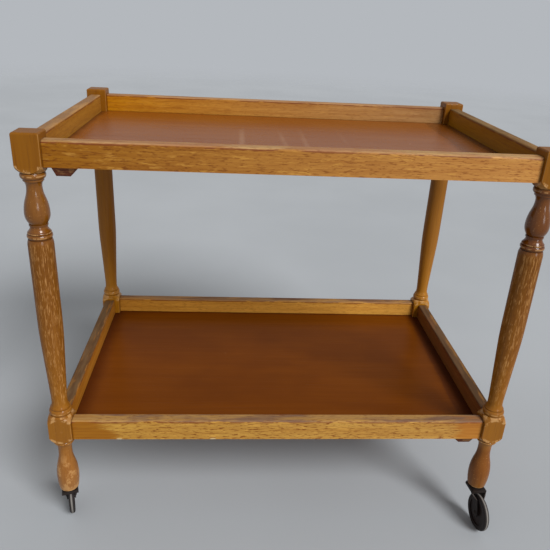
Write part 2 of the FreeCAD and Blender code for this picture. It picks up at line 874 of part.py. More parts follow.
def castor_stem(name):
    """Build the grooved stem with its collar, riveted over under the horn's top."""
    body = new_body(f"{name}_castor_stem")
    shank = size.stem_diameter / 2
    waist = shank - size.stem_groove_depth
    collar = size.stem_collar_diameter / 2
    rivet = size.stem_rivet_diameter / 2
    top = size.castor_height + size.socket_length - size.stem_end_gap
    groove = top - size.stem_groove_drop
    under_horn = horn_top - size.horn_thickness
    outline = Outline(0, under_horn - size.stem_rivet_height)
    bulge = tangent_radius(rivet, size.stem_rivet_height)
    outline.arc(rivet, under_horn, bulge, (1, -1))
    outline.line(shank, under_horn)
    outline.line(shank, horn_top)
    outline.line(collar, horn_top)
    outline.line(collar, horn_top + size.stem_collar_height)
    outline.line(shank, horn_top + size.stem_collar_height)
    outline.line(shank, groove - size.stem_groove_width)
    outline.line(waist, groove - size.stem_groove_width)
    outline.line(waist, groove)
    outline.line(shank, groove)
    outline.line(shank, top - size.stem_dome)
    outline.arc(0, top, tangent_radius(shank, size.stem_dome), (1, 1))
    turn(body, "Revolution", draw(body, "outline", "XZ_Plane", outline))
    return body


def horn_section():
    """Return the bent sheet's section: a flat top, slanted cheeks and an upright fork."""
    wall = size.horn_thickness
    bend = size.horn_bend_round
    skirt_foot = horn_top - size.horn_skirt
    fork_top = axle_height + size.horn_waist_height
    low = axle_height - size.horn_boss_diameter / 2 - wall
    fork = size.horn_fork_width / 2
    cheek = size.horn_width / 2
    outline = Outline(-fork, low)
    outline.line(-fork, fork_top).line(-cheek, skirt_foot).line(-cheek, horn_top - bend)
    outline.arc(bend - cheek, horn_top, bend, (-1, 1))
    outline.line(cheek - bend, horn_top)
    outline.arc(cheek, horn_top - bend, bend, (1, 1))
    outline.line(cheek, skirt_foot).line(fork, fork_top).line(fork, low)
    outline.line(fork - wall, low).line(fork - wall, fork_top)
    outline.line(cheek - wall, skirt_foot).line(cheek - wall, horn_top - bend)
    outline.arc(cheek - bend, horn_top - wall, bend - wall, (1, 1))
    outline.line(bend - cheek, horn_top - wall)
    outline.arc(wall - cheek, horn_top - bend, bend - wall, (-1, 1))
    outline.line(wall - cheek, skirt_foot).line(wall - fork, fork_top).line(wall - fork, low)
    return outline


def horn_profile():
    """Return the horn's outline from the side: an arm that curves back to a round boss."""
    skirt_foot = horn_top - size.horn_skirt
    boss = size.horn_boss_diameter / 2
    fall = skirt_foot - axle_height
    trail = size.castor_trail
    hollow = bead_radius(distance(trail - boss + size.horn_front, fall), size.horn_front_sag)
    full = bead_radius(distance(trail + boss - size.horn_back, fall), size.horn_back_sag)
    outline = Outline(-size.horn_front, horn_top)
    outline.line(size.horn_back, horn_top).line(size.horn_back, skirt_foot)
    outline.arc(trail + boss, axle_height, full, (1, 1))
    outline.arc(trail, axle_height - boss, boss, (1, -1))
    outline.arc(trail - boss, axle_height, boss, (-1, -1))
    outline.arc(-size.horn_front, skirt_foot, hollow, (1, 1))
    return outline


def horn_cap():
    """Return the wall that closes the horn's top at the front or the back."""
    inside = size.horn_width / 2 - size.horn_thickness
    return rectangle(-inside, inside, horn_top - size.horn_skirt, horn_top - size.horn_thickness)


def castor_horn(name):
    """Build the stamped horn: a cap with walls all round and a curved arm on each side."""
    body = new_body(f"{name}_castor_horn")
    wall = size.horn_thickness
    boss = size.horn_boss_diameter / 2
    reach = size.horn_front + size.castor_trail + boss
    section = draw(body, "section", "YZ_Plane", horn_section(), offset=-size.horn_front)
    pad(body, section, reach)
    blank = rectangle(
        -size.horn_front - wall,
        size.castor_trail + boss + wall,
        axle_height - boss - 2 * wall,
        horn_top + wall,
    )
    trim = draw(body, "trim", "XZ_Plane", blank, horn_profile())
    pocket(body, trim, size.horn_width + wall, both_ways=True)
    pad(body, draw(body, "front_wall", "YZ_Plane", horn_cap(), offset=-size.horn_front), wall)
    pad(body, draw(body, "back_wall", "YZ_Plane", horn_cap(), offset=size.horn_back - wall), wall)
    eye = new_sketch(body, "axle_hole", "XZ_Plane")
    add_circle(eye, size.castor_trail, axle_height, axle_hole_radius)
    pocket(body, eye, size.horn_width + wall, both_ways=True)
    stem_hole_radius = size.stem_diameter / 2 + size.driven_clearance
    drill(body, "stem_hole", [(0, 0)], stem_hole_radius, wall, horn_top - wall)
    return body


def castor_axle(name):
    """Build the rivet that the wheel turns on, a dome over each side of the fork."""
    body = new_body(f"{name}_castor_axle")
    head = size.axle_head_diameter / 2
    shank = size.axle_diameter / 2
    fork = size.horn_fork_width / 2
    bulge = tangent_radius(head, size.axle_head_height)
    outline = Outline(0, -fork - size.axle_head_height)
    outline.arc(head, -fork, bulge, (1, -1))
    outline.line(shank, -fork).line(shank, fork).line(head, fork)
    outline.arc(0, fork + size.axle_head_height, bulge, (1, 1))
    turn(body, "Revolution", draw(body, "outline", "XY_Plane", outline))
    return body


def castor_wheel(name):
    """Build the wheel: a hub, a thin web and a rim that carries the tyre."""
    body = new_body(f"{name}_castor_wheel")
    bore = size.axle_diameter / 2 + size.fit_clearance
    hub = size.hub_diameter / 2
    rim = size.rim_diameter / 2
    hub_side = size.hub_width / 2
    web_side = size.web_thickness / 2
    rim_side = size.rim_width / 2
    inner = rim - size.rim_lip
    outline = Outline(bore, -hub_side)
    outline.line(hub, -hub_side).line(hub, -web_side).line(inner, -web_side)
    outline.line(inner, -rim_side).line(rim, -rim_side).line(rim, rim_side)
    outline.line(inner, rim_side).line(inner, web_side).line(hub, web_side)
    outline.line(hub, hub_side).line(bore, hub_side)
    turn(body, "Revolution", draw(body, "outline", "XY_Plane", outline))
    return body


def castor_tyre(name):
    """Build the tyre that is pressed on the rim, flat in the tread and round at the sides."""
    body = new_body(f"{name}_castor_tyre")
    rim = size.rim_diameter / 2
    tread = size.wheel_diameter / 2
    side = size.tyre_width / 2
    flat = size.tread_width / 2
    wall_top = tread - size.tyre_shoulder
    shoulder = tangent_radius(side - flat, size.tyre_shoulder)
    outline = Outline(rim, -side)
    outline.line(wall_top, -side)
    outline.arc(tread, -flat, shoulder, (1, -1))
    outline.line(tread, flat)
    outline.arc(wall_top, side, shoulder, (1, 1))
    outline.line(rim, side)
    turn(body, "Revolution", draw(body, "outline", "XY_Plane", outline))
    return body


def castor(name, corner, swivel):
    """Build one castor under a leg, trailing towards an angle."""
    across = corner[0] * leg_across
    along = corner[1] * leg_along
    for make in (castor_socket, castor_stem, castor_horn):
        body = make(name)
        place(body, across, along, 0, swivel)
        nodes.append(body)
    wheel_across = across + size.castor_trail * cosine(swivel)
    wheel_along = along + size.castor_trail * sine(swivel)
    for make in (castor_axle, castor_wheel, castor_tyre):
        body = make(name)
        place(body, wheel_across, wheel_along, axle_height, swivel)
        nodes.append(body)


# ---------------------------------------------------------------- the trolley
nodes = []
for name, (corner, angle) in CORNERS.items():
    leg(f"{name}_leg", corner, angle)
masters = [{hand: glue_block(hand) for hand in (1, -1)}, block_screw(), tray_pin()]
for tray, height in TRAYS.items():
    tray_rails(tray, height, GLUE_BLOCKS[tray])
    tray_bottom(tray, height, GLUE_BLOCKS[tray])
    tray_fixings(tray, height, GLUE_BLOCKS[tray], *masters)
SWIVELS = {
    "front_left": size.front_left_swivel,
    "front_right": size.front_right_swivel,
    "rear_right": size.front_left_swivel - HALF_TURN,
    "rear_left": size.front_right_swivel + HALF_TURN,
}
for name, swivel in SWIVELS.items():
    castor(name, CORNERS[name][0], swivel)
doc.recompute()


# ---------------------------------------------------------------- checks and files
def check_objects():
    """Stop on an object that failed to compute."""
    failed = [item.Name for item in doc.Objects if {"Invalid", "Error"} & set(item.State)]
    if failed:
        raise RuntimeError(f"failed to compute: {failed}")


def check_features(body):
    """Stop on a cut that takes nothing away, or an addition that adds nothing."""
    for feature in body.Group:
        base = getattr(feature, "BaseFeature", None)
        if base is None:
            continue
        change = feature.Shape.Volume - base.Shape.Volume
        if feature.TypeId in ADDING and change <= 0:
            raise RuntimeError(f"{feature.Name} adds nothing")
        if feature.TypeId not in ADDING and change >= 0:
            raise RuntimeError(f"{feature.Name} cuts nothing")


def check_shape(node):
    """Stop on a shape that is null or faulty."""
    if node.Shape.isNull() or not node.Shape.isValid():
        raise RuntimeError(f"{node.Label} has no sound shape")


check_objects()
for item in doc.findObjects("PartDesign::Body"):
    check_features(item)
for node in nodes:
    check_shape(node)
os.makedirs("parts", exist_ok=True)
for node in nodes:
    node.Shape.exportStep(f"parts/{node.Label}.step")
print(f"{len(nodes)} nodes")
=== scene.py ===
"""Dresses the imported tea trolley: oak, veneer, steel, rubber, floor, light and camera."""

import json
import logging
import math
from collections.abc import Iterable, Sequence
from dataclasses import dataclass, replace
from enum import Enum
from functools import cached_property, reduce
from typing import NamedTuple, TypeVar

import bmesh
import bpy
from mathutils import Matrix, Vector


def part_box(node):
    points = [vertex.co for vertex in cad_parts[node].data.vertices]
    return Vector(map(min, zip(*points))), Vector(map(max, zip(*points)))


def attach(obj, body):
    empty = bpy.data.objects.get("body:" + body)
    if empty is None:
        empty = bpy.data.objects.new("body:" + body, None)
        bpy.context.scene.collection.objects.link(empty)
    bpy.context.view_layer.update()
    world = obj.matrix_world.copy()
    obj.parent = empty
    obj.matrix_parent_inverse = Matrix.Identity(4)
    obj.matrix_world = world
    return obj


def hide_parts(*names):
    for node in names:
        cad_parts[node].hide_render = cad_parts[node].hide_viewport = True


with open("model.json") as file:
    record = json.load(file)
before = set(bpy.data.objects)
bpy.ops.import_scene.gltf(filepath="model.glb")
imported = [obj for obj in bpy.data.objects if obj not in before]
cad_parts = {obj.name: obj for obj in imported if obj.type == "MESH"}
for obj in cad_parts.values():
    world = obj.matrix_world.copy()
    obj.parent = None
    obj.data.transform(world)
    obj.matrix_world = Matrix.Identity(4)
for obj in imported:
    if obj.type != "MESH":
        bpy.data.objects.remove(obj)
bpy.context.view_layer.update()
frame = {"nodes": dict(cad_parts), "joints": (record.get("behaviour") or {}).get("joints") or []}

MILLIMETRE = 0.001
CORNERS = ("front_left", "front_right", "rear_right", "rear_left")
log = logging.getLogger("tea_trolley")

Socket = bpy.types.NodeSocket
# A fade is where a mask is 0 and where it is 1, and a band has one fade in and one out.
Fade = tuple[float, float]
Band = tuple[Fade, Fade]
# A density is how many marks go in a metre across the trolley, along it and up.
Density = tuple[float, float, float]


# ---------------------------------------------------------------- colours
@dataclass(frozen=True)
class Colour:
    """A colour as it looks on a screen, each channel from 0 to 255."""

    red: float
    green: float
    blue: float

    @property
    def linear(self) -> tuple[float, float, float, float]:
        """The same colour as the light that it reflects, with full alpha."""
        return (*(to_linear(part / 255) for part in (self.red, self.green, self.blue)), 1.0)


def to_linear(part: float) -> float:
    """Turn one screen channel into the share of light that it stands for, by the sRGB curve.

    Args:
        part: The channel, from 0 to 1.

    Returns:
        The share of light, from 0 to 1.
    """
    return part / 12.92 if part <= 0.04045 else ((part + 0.055) / 1.055) ** 2.4


Value = Socket | Colour | float | Sequence[float]


# ---------------------------------------------------------------- node trees
class Shape(Enum):
    """How a value is turned into a mask."""

    HARD = "LINEAR"
    SOFT = "SMOOTHSTEP"


class Laying(Enum):
    """How one colour goes on another."""

    OVER = "MIX"
    STAIN = "MULTIPLY"


@dataclass(frozen=True)
class Noise:
    """Soft noise that doesn't repeat.

    It has a density, one of many draws, finer layers and their strength, and the fade that
    turns it into a mask.
    """

    density: float | Density
    seed: Value
    detail: float = 2.0
    roughness: float = 0.5
    fade: Fade = (0.0, 1.0)


@dataclass(frozen=True)
class Marks:
    """Marks from a shader group: their density, which draw, and how many show, from 0 to 1."""

    density: Density
    seed: float
    amount: float | None = None


class Nodes:
    """A node tree that is filled by plain calls."""

    def __init__(self, tree: bpy.types.NodeTree) -> None:
        """Take an empty tree."""
        self.tree = tree

    def add(
        self,
        kind: str,
        inputs: dict[str | int, Value] | None = None,
        **settings: object,
    ) -> bpy.types.Node:
        """Add a node.

        Args:
            kind: The node's type.
            inputs: What goes into each input.
            **settings: The node's own properties.

        Returns:
            The node.
        """
        node = self.tree.nodes.new(kind)
        for name, setting in settings.items():
            setattr(node, name, setting)
        for name, value in (inputs or {}).items():
            self.feed(node.inputs[name], value)
        return node

    def feed(self, socket: Socket, value: Value) -> None:
        """Link a socket into an input, or set a colour or a plain value on it.

        Args:
            socket: The input.
            value: A socket, a colour or a plain value.
        """
        if isinstance(value, Socket):
            self.tree.links.new(value, socket)
        else:
            socket.default_value = value.linear if isinstance(value, Colour) else value

    def number(self, operation: str, *values: Value) -> Socket:
        """Do arithmetic on numbers.

        Args:
            operation: The Math node's operation.
            *values: What it works on.

        Returns:
            The result.
        """
        node = self.add("ShaderNodeMath", dict(enumerate(values)), operation=operation)
        return node.outputs[0]

    def plus(self, first: Value, second: Value) -> Socket:
        """Add two numbers."""
        return self.number("ADD", first, second)

    def minus(self, first: Value, second: Value) -> Socket:
        """Take the second number from the first."""
        return self.number("SUBTRACT", first, second)

    def times(self, *values: Value) -> Socket:
        """Multiply numbers, in order."""
        return reduce(lambda product, value: self.number("MULTIPLY", product, value), values)

    def scaled(self, value: Value, factor: Value, shift: Value) -> Socket:
        """Multiply a number by a factor and add a shift."""
        return self.number("MULTIPLY_ADD", value, factor, shift)

    def unsigned(self, value: Value) -> Socket:
        """Drop a number's sign."""
        return self.number("ABSOLUTE", value)

    def away(self, value: Value, middle: Value) -> Socket:
        """Measure how far a number is from a middle one."""
        return self.unsigned(self.minus(value, middle))

    def largest(self, *values: Value) -> Value:
        """Take the largest of some numbers."""
        return reduce(lambda most, value: self.number("MAXIMUM", most, value), values)

    def length(self, first: Value, second: Value) -> Socket:
        """Measure the long side of a right angle's two short ones."""
        return self.number("SQRT", self.scaled(first, first, self.times(second, second)))

    def split(self, vector: Socket) -> tuple[Socket, Socket, Socket]:
        """Split a vector into its X, Y and Z."""
        return tuple(self.add("ShaderNodeSeparateXYZ", {0: vector}).outputs)


# A Mix node has a socket of each name for every type of value; these are a colour's.
MIX_FACTOR, MIX_UNDER, MIX_OVER, MIX_RESULT = 0, 6, 7, 2


class Wiring(Nodes):
    """A shader tree."""

    @cached_property
    def place(self) -> Socket:
        """Where a point is on the trolley, in metres."""
        return self.add("ShaderNodeTexCoord").outputs["Object"]

    @cached_property
    def parts(self) -> tuple[Socket, Socket, Socket]:
        """A point's place from left to right, its place from front to back, and its height."""
        return self.split(self.place)

    def vector(self, operation: str, *values: Value) -> Socket:
        """Do arithmetic on vectors.

        Args:
            operation: The Vector Math node's operation.
            *values: What it works on.

        Returns:
            The resulting vector.
        """
        node = self.add("ShaderNodeVectorMath", dict(enumerate(values)), operation=operation)
        return node.outputs[0]

    def step(
        self,
        value: Value,
        start: Value,
        end: Value,
        shape: Shape = Shape.SOFT,
    ) -> Socket:
        """Turn a value into a mask.

        Args:
            value: The value.
            start: Where the mask is 0.
            end: Where the mask is 1.
            shape: Whether the mask eases in and out.

        Returns:
            The mask.
        """
        inputs = {"Value": value, "From Min": start, "From Max": end}
        node = self.add("ShaderNodeMapRange", inputs, interpolation_type=shape.value)
        return node.outputs["Result"]

    def band(self, value: Value, band: Band) -> Socket:
        """Turn a value into a mask that fades in and out."""
        return self.times(*(self.step(value, *fade) for fade in band))

    def blend(
        self,
        mask: Value,
        under: Value,
        over: Value,
        laying: Laying = Laying.OVER,
    ) -> Socket:
        """Lay one colour on another by a mask.

        Args:
            mask: Where the upper colour shows.
            under: The lower colour.
            over: The upper colour.
            laying: Whether the upper colour covers or stains the lower one.

        Returns:
            The mixed colour.
        """
        node = self.add("ShaderNodeMix", {
            MIX_FACTOR: mask, MIX_UNDER: under, MIX_OVER: over,
        }, data_type="RGBA", blend_type=laying.value)
        return node.outputs[MIX_RESULT]

    def ramp(self, share: Value, stops: Sequence[tuple[float, Colour]]) -> Socket:
        """Run through colours as a value goes from 0 to 1.

        Args:
            share: The value.
            stops: Where each colour is reached, in order.

        Returns:
            The colour.
        """
        node = self.add("ShaderNodeValToRGB", {0: share})
        elements = node.color_ramp.elements
        for _ in stops[2:]:
            elements.new(0.5)
        for element, (place, colour) in zip(elements, stops):
            element.position = place
            element.color = colour.linear
        return node.outputs["Color"]

    def noise(self, vector: Value, noise: Noise) -> Socket:
        """Draw soft noise.

        Args:
            vector: Where it is read.
            noise: How it is drawn.

        Returns:
            The noise, about 0.5 on average.
        """
        scale = noise.density
        if isinstance(scale, tuple):
            vector = self.vector("MULTIPLY", vector, scale)
            scale = 1.0
        node = self.add("ShaderNodeTexNoise", {
            "Vector": vector, "W": noise.seed, "Scale": scale,
            "Detail": noise.detail, "Roughness": noise.roughness,
        }, noise_dimensions="4D")
        return node.outputs["Fac"]

    def mask(self, vector: Value, noise: Noise) -> Socket:
        """Draw soft noise and turn it into a mask."""
        return self.step(self.noise(vector, noise), *noise.fade)

    def group(self, made: bpy.types.NodeTree, inputs: dict[str, Value]) -> bpy.types.Node:
        """Place a shader group."""
        return self.add("ShaderNodeGroup", inputs, node_tree=made)

    def show(self, shader: bpy.types.Node, output: str = "ShaderNodeOutputMaterial") -> None:
        """End the tree with a shader."""
        self.feed(self.add(output).inputs["Surface"], shader.outputs[0])


FLOAT = "NodeSocketFloat"
VECTOR = "NodeSocketVector"
MARK_INPUTS = {"Vector": VECTOR, "Density": VECTOR, "Seed": FLOAT}


def new_group(
    name: str,
    inputs: dict[str, str],
    outputs: Iterable[str],
) -> tuple[Wiring, dict[str, Socket], bpy.types.Node]:
    """Start a shader group.

    Args:
        name: The group's name.
        inputs: Each input's name and socket type.
        outputs: The names of its outputs, all numbers.

    Returns:
        The group's wiring, its inputs by name, and the node that its outputs go to.
    """
    tree = bpy.data.node_groups.new(name, "ShaderNodeTree")
    for title, kind in inputs.items():
        tree.interface.new_socket(title, in_out="INPUT", socket_type=kind)
    for title in outputs:
        tree.interface.new_socket(title, in_out="OUTPUT", socket_type=FLOAT)
    start = tree.nodes.new("NodeGroupInput")
    end = tree.nodes.new("NodeGroupOutput")
    return Wiring(tree), {title: start.outputs[title] for title in inputs}, end


class Effects:
    """The shader groups that the finishes are drawn with, each built once.

    Where a group has a Density, the densities of its noises count from that one.
    """

    # Streaks are broad noise with a share of fine noise.
    FINE_SHARE = 0.4
    STREAKS: Fade = (0.36, 0.64)
    # Flecks bend along a wave, and the light ones are another draw than the dark ones.
    BEND = (1.2, 1.2, 1.2)
    OTHER_DRAW = 4.0
    # Wear reaches this many widths in from an edge where its noise is 1.
    EDGE_REACH = 2.2
    # Patches are where the noise is above a limit, which falls as their amount grows.
    PATCH_LIMIT = 0.75
    PATCH_FALL = 0.35
    PATCH_RIM = 0.07

    def __init__(self) -> None:
        """Build every group."""
        self.grain = self.build_grain()
        self.flecks = self.build_flecks()
        self.edges = self.build_edges()
        self.ring = self.build_ring()
        self.patches = self.build_patches()

    def build_grain(self) -> bpy.types.NodeTree:
        """Build long streaks and short dark pores that run with the wood.

        Returns:
            The group, with Density in streaks per metre each way.
        """
        wiring, given, end = new_group("wood_grain", MARK_INPUTS, ("Streaks", "Pores"))
        seed = given["Seed"]
        drawn = wiring.vector("MULTIPLY", given["Vector"], given["Density"])
        broad = wiring.noise(drawn, Noise(density=1.0, seed=seed, detail=3.0, roughness=0.6))
        fine = wiring.noise(drawn, Noise(density=3.4, seed=seed))
        broad_part = wiring.times(broad, 1.0 - self.FINE_SHARE)
        both = wiring.scaled(fine, self.FINE_SHARE, broad_part)
        wiring.feed(end.inputs["Streaks"], wiring.step(both, *self.STREAKS))
        pores = Noise(density=5.5, seed=seed, detail=1.0, roughness=0.4, fade=(0.6, 0.7))
        wiring.feed(end.inputs["Pores"], wiring.mask(drawn, pores))
        return wiring.tree

    def build_flecks(self) -> bpy.types.NodeTree:
        """Build the broken flecks of quarter-sawn oak.

        Returns:
            The group, with Density in flecks per metre each way.
        """
        wiring, given, end = new_group("ray_flecks", MARK_INPUTS, ("Dark", "Light"))
        seed = given["Seed"]
        drawn = wiring.vector("MULTIPLY", given["Vector"], given["Density"])
        wave = wiring.noise(drawn, Noise(density=0.35, seed=seed))
        bent = wiring.vector("ADD", drawn, wiring.vector("MULTIPLY", wave, self.BEND))
        dark = Noise(density=1.0, seed=seed, detail=3.0, roughness=0.65, fade=(0.51, 0.64))
        other_seed = wiring.plus(seed, self.OTHER_DRAW)
        light = Noise(density=0.7, seed=other_seed, fade=(0.55, 0.68))
        wiring.feed(end.inputs["Dark"], wiring.mask(bent, dark))
        wiring.feed(end.inputs["Light"], wiring.mask(bent, light))
        return wiring.tree

    def build_edges(self) -> bpy.types.NodeTree:
        """Build a mask along the edges of a box, broken up like wear.

        Returns:
            The group, with Centre, Half and Width in metres, and Amount from 0 to 1.
        """
        wiring, given, end = new_group("edge_wear", {
            "Vector": VECTOR, "Centre": VECTOR, "Half": VECTOR,
            "Width": FLOAT, "Amount": FLOAT, "Seed": FLOAT,
        }, ("Wear",))
        from_centre = wiring.vector("SUBTRACT", given["Vector"], given["Centre"])
        depth = wiring.vector("SUBTRACT", given["Half"], wiring.vector("ABSOLUTE", from_centre))
        rubbing = Noise(density=90.0, seed=given["Seed"], detail=3.0, roughness=0.7)
        rub = wiring.noise(given["Vector"], rubbing)
        reach = wiring.times(given["Width"], wiring.times(rub, self.EDGE_REACH))
        across, along, up = (wiring.step(part, reach, 0.0) for part in wiring.split(depth))
        upright = wiring.times(across, along)
        level = wiring.times(up, wiring.largest(across, along))
        wear = wiring.times(wiring.largest(upright, level), given["Amount"])
        wiring.feed(end.inputs["Wear"], wear)
        return wiring.tree

    @staticmethod
    def build_ring() -> bpy.types.NodeTree:
        """Build a soft band at one height.

        Returns:
            The group, with Height, Middle and Width in metres.
        """
        inputs = {"Height": FLOAT, "Middle": FLOAT, "Width": FLOAT}
        wiring, given, end = new_group("ring_line", inputs, ("Line",))
        away = wiring.away(given["Height"], given["Middle"])
        wiring.feed(end.inputs["Line"], wiring.step(away, given["Width"], 0.0))
        return wiring.tree

    def build_patches(self) -> bpy.types.NodeTree:
        """Build worn patches with ragged edges.

        Returns:
            The group, with Density in patches per metre each way, and Amount from 0 to 1.
        """
        inputs = {**MARK_INPUTS, "Amount": FLOAT}
        wiring, given, end = new_group("worn_patches", inputs, ("Patches",))
        drawn = wiring.vector("MULTIPLY", given["Vector"], given["Density"])
        tearing = Noise(density=1.0, seed=given["Seed"], detail=5.0, roughness=0.68)
        ragged = wiring.noise(drawn, tearing)
        fall = wiring.times(given["Amount"], self.PATCH_FALL)
        limit = wiring.minus(self.PATCH_LIMIT, fall)
        over = wiring.plus(limit, self.PATCH_RIM)
        wiring.feed(end.inputs["Patches"], wiring.step(ragged, limit, over))
        return wiring.tree


class Surface(Wiring):
    """A material's tree, with the shared shader groups at hand."""

    def __init__(self, material: bpy.types.Material, effects: Effects) -> None:
        """Start on a material.

        Args:
            material: The material, whose tree is empty.
            effects: The shared shader groups.
        """
        super().__init__(material.node_tree)
        self.effects = effects

    def drawn(self, group: bpy.types.NodeTree, marks: Marks) -> tuple[Socket, ...]:
        """Draw marks with one of the shader groups.

        Args:
            group: The group.
            marks: How they lie.

        Returns:
            The masks that the group gives.
        """
        inputs = {"Vector": self.place, "Density": marks.density, "Seed": marks.seed}
        if marks.amount is not None:
            inputs["Amount"] = marks.amount
        return tuple(self.group(group, inputs).outputs)

    def grain(self, marks: Marks) -> tuple[Socket, Socket]:
        """Draw the streaks and the pores of a grain."""
        return self.drawn(self.effects.grain, marks)

    def flecks(self, marks: Marks) -> tuple[Socket, Socket]:
        """Draw the dark and the light flecks of quarter-sawn oak."""
        return self.drawn(self.effects.flecks, marks)

    def patches(self, marks: Marks) -> Socket:
        """Draw worn patches."""
        return self.drawn(self.effects.patches, marks)[0]

    def ring(self, height: Value, middle: float, width: float) -> Socket:
        """Draw a level line by its middle and its half width."""
        inputs = {"Height": height, "Middle": middle, "Width": width}
        return self.group(self.effects.ring, inputs).outputs[0]


# ---------------------------------------------------------------- finishes
class Look(NamedTuple):
    """What a finish draws: its colour, where its shine is gone, and its marks' height."""

    colour: Socket
    wear: Socket
    height: Socket


def new_material(name: str) -> bpy.types.Material:
    """Start a material with an empty tree.

    Args:
        name: Its name.

    Returns:
        The material.
    """
    material = bpy.data.materials.new(name)
    material.use_nodes = True
    material.node_tree.nodes.clear()
    return material


@dataclass(frozen=True, kw_only=True)
class Finish:
    """What every finish has: a name, how it shines and how deep its marks are."""

    name: str
    sound_roughness: float = 0.4
    worn_roughness: float = 0.75
    coat: float = 0.0
    coat_roughness: float = 0.15
    specular: float = 0.25
    metallic: float = 0.0
    depth: float = 0.2 * MILLIMETRE

    def draw(self, surface: Surface) -> Look:
        """Draw the finish on a surface, which each kind of finish does its own way."""
        raise NotImplementedError

    def make(self, effects: Effects) -> bpy.types.Material:
        """Build the material.

        Args:
            effects: The shared shader groups.

        Returns:
            The material.
        """
        material = new_material(self.name)
        surface = Surface(material, effects)
        look = self.draw(surface)
        dulling = self.worn_roughness - self.sound_roughness
        shader = surface.add("ShaderNodeBsdfPrincipled", {
            "Base Color": look.colour,
            "Roughness": surface.scaled(look.wear, dulling, self.sound_roughness),
            "Metallic": self.metallic,
            "Specular IOR Level": self.specular,
            "Coat Roughness": self.coat_roughness,
        })
        if self.coat:
            left = surface.scaled(look.wear, -self.coat, self.coat)
            surface.feed(shader.inputs["Coat Weight"], left)
        bump = surface.add("ShaderNodeBump", {"Height": look.height, "Distance": self.depth})
        surface.feed(shader.inputs["Normal"], bump.outputs[0])
        surface.show(shader)
        return material


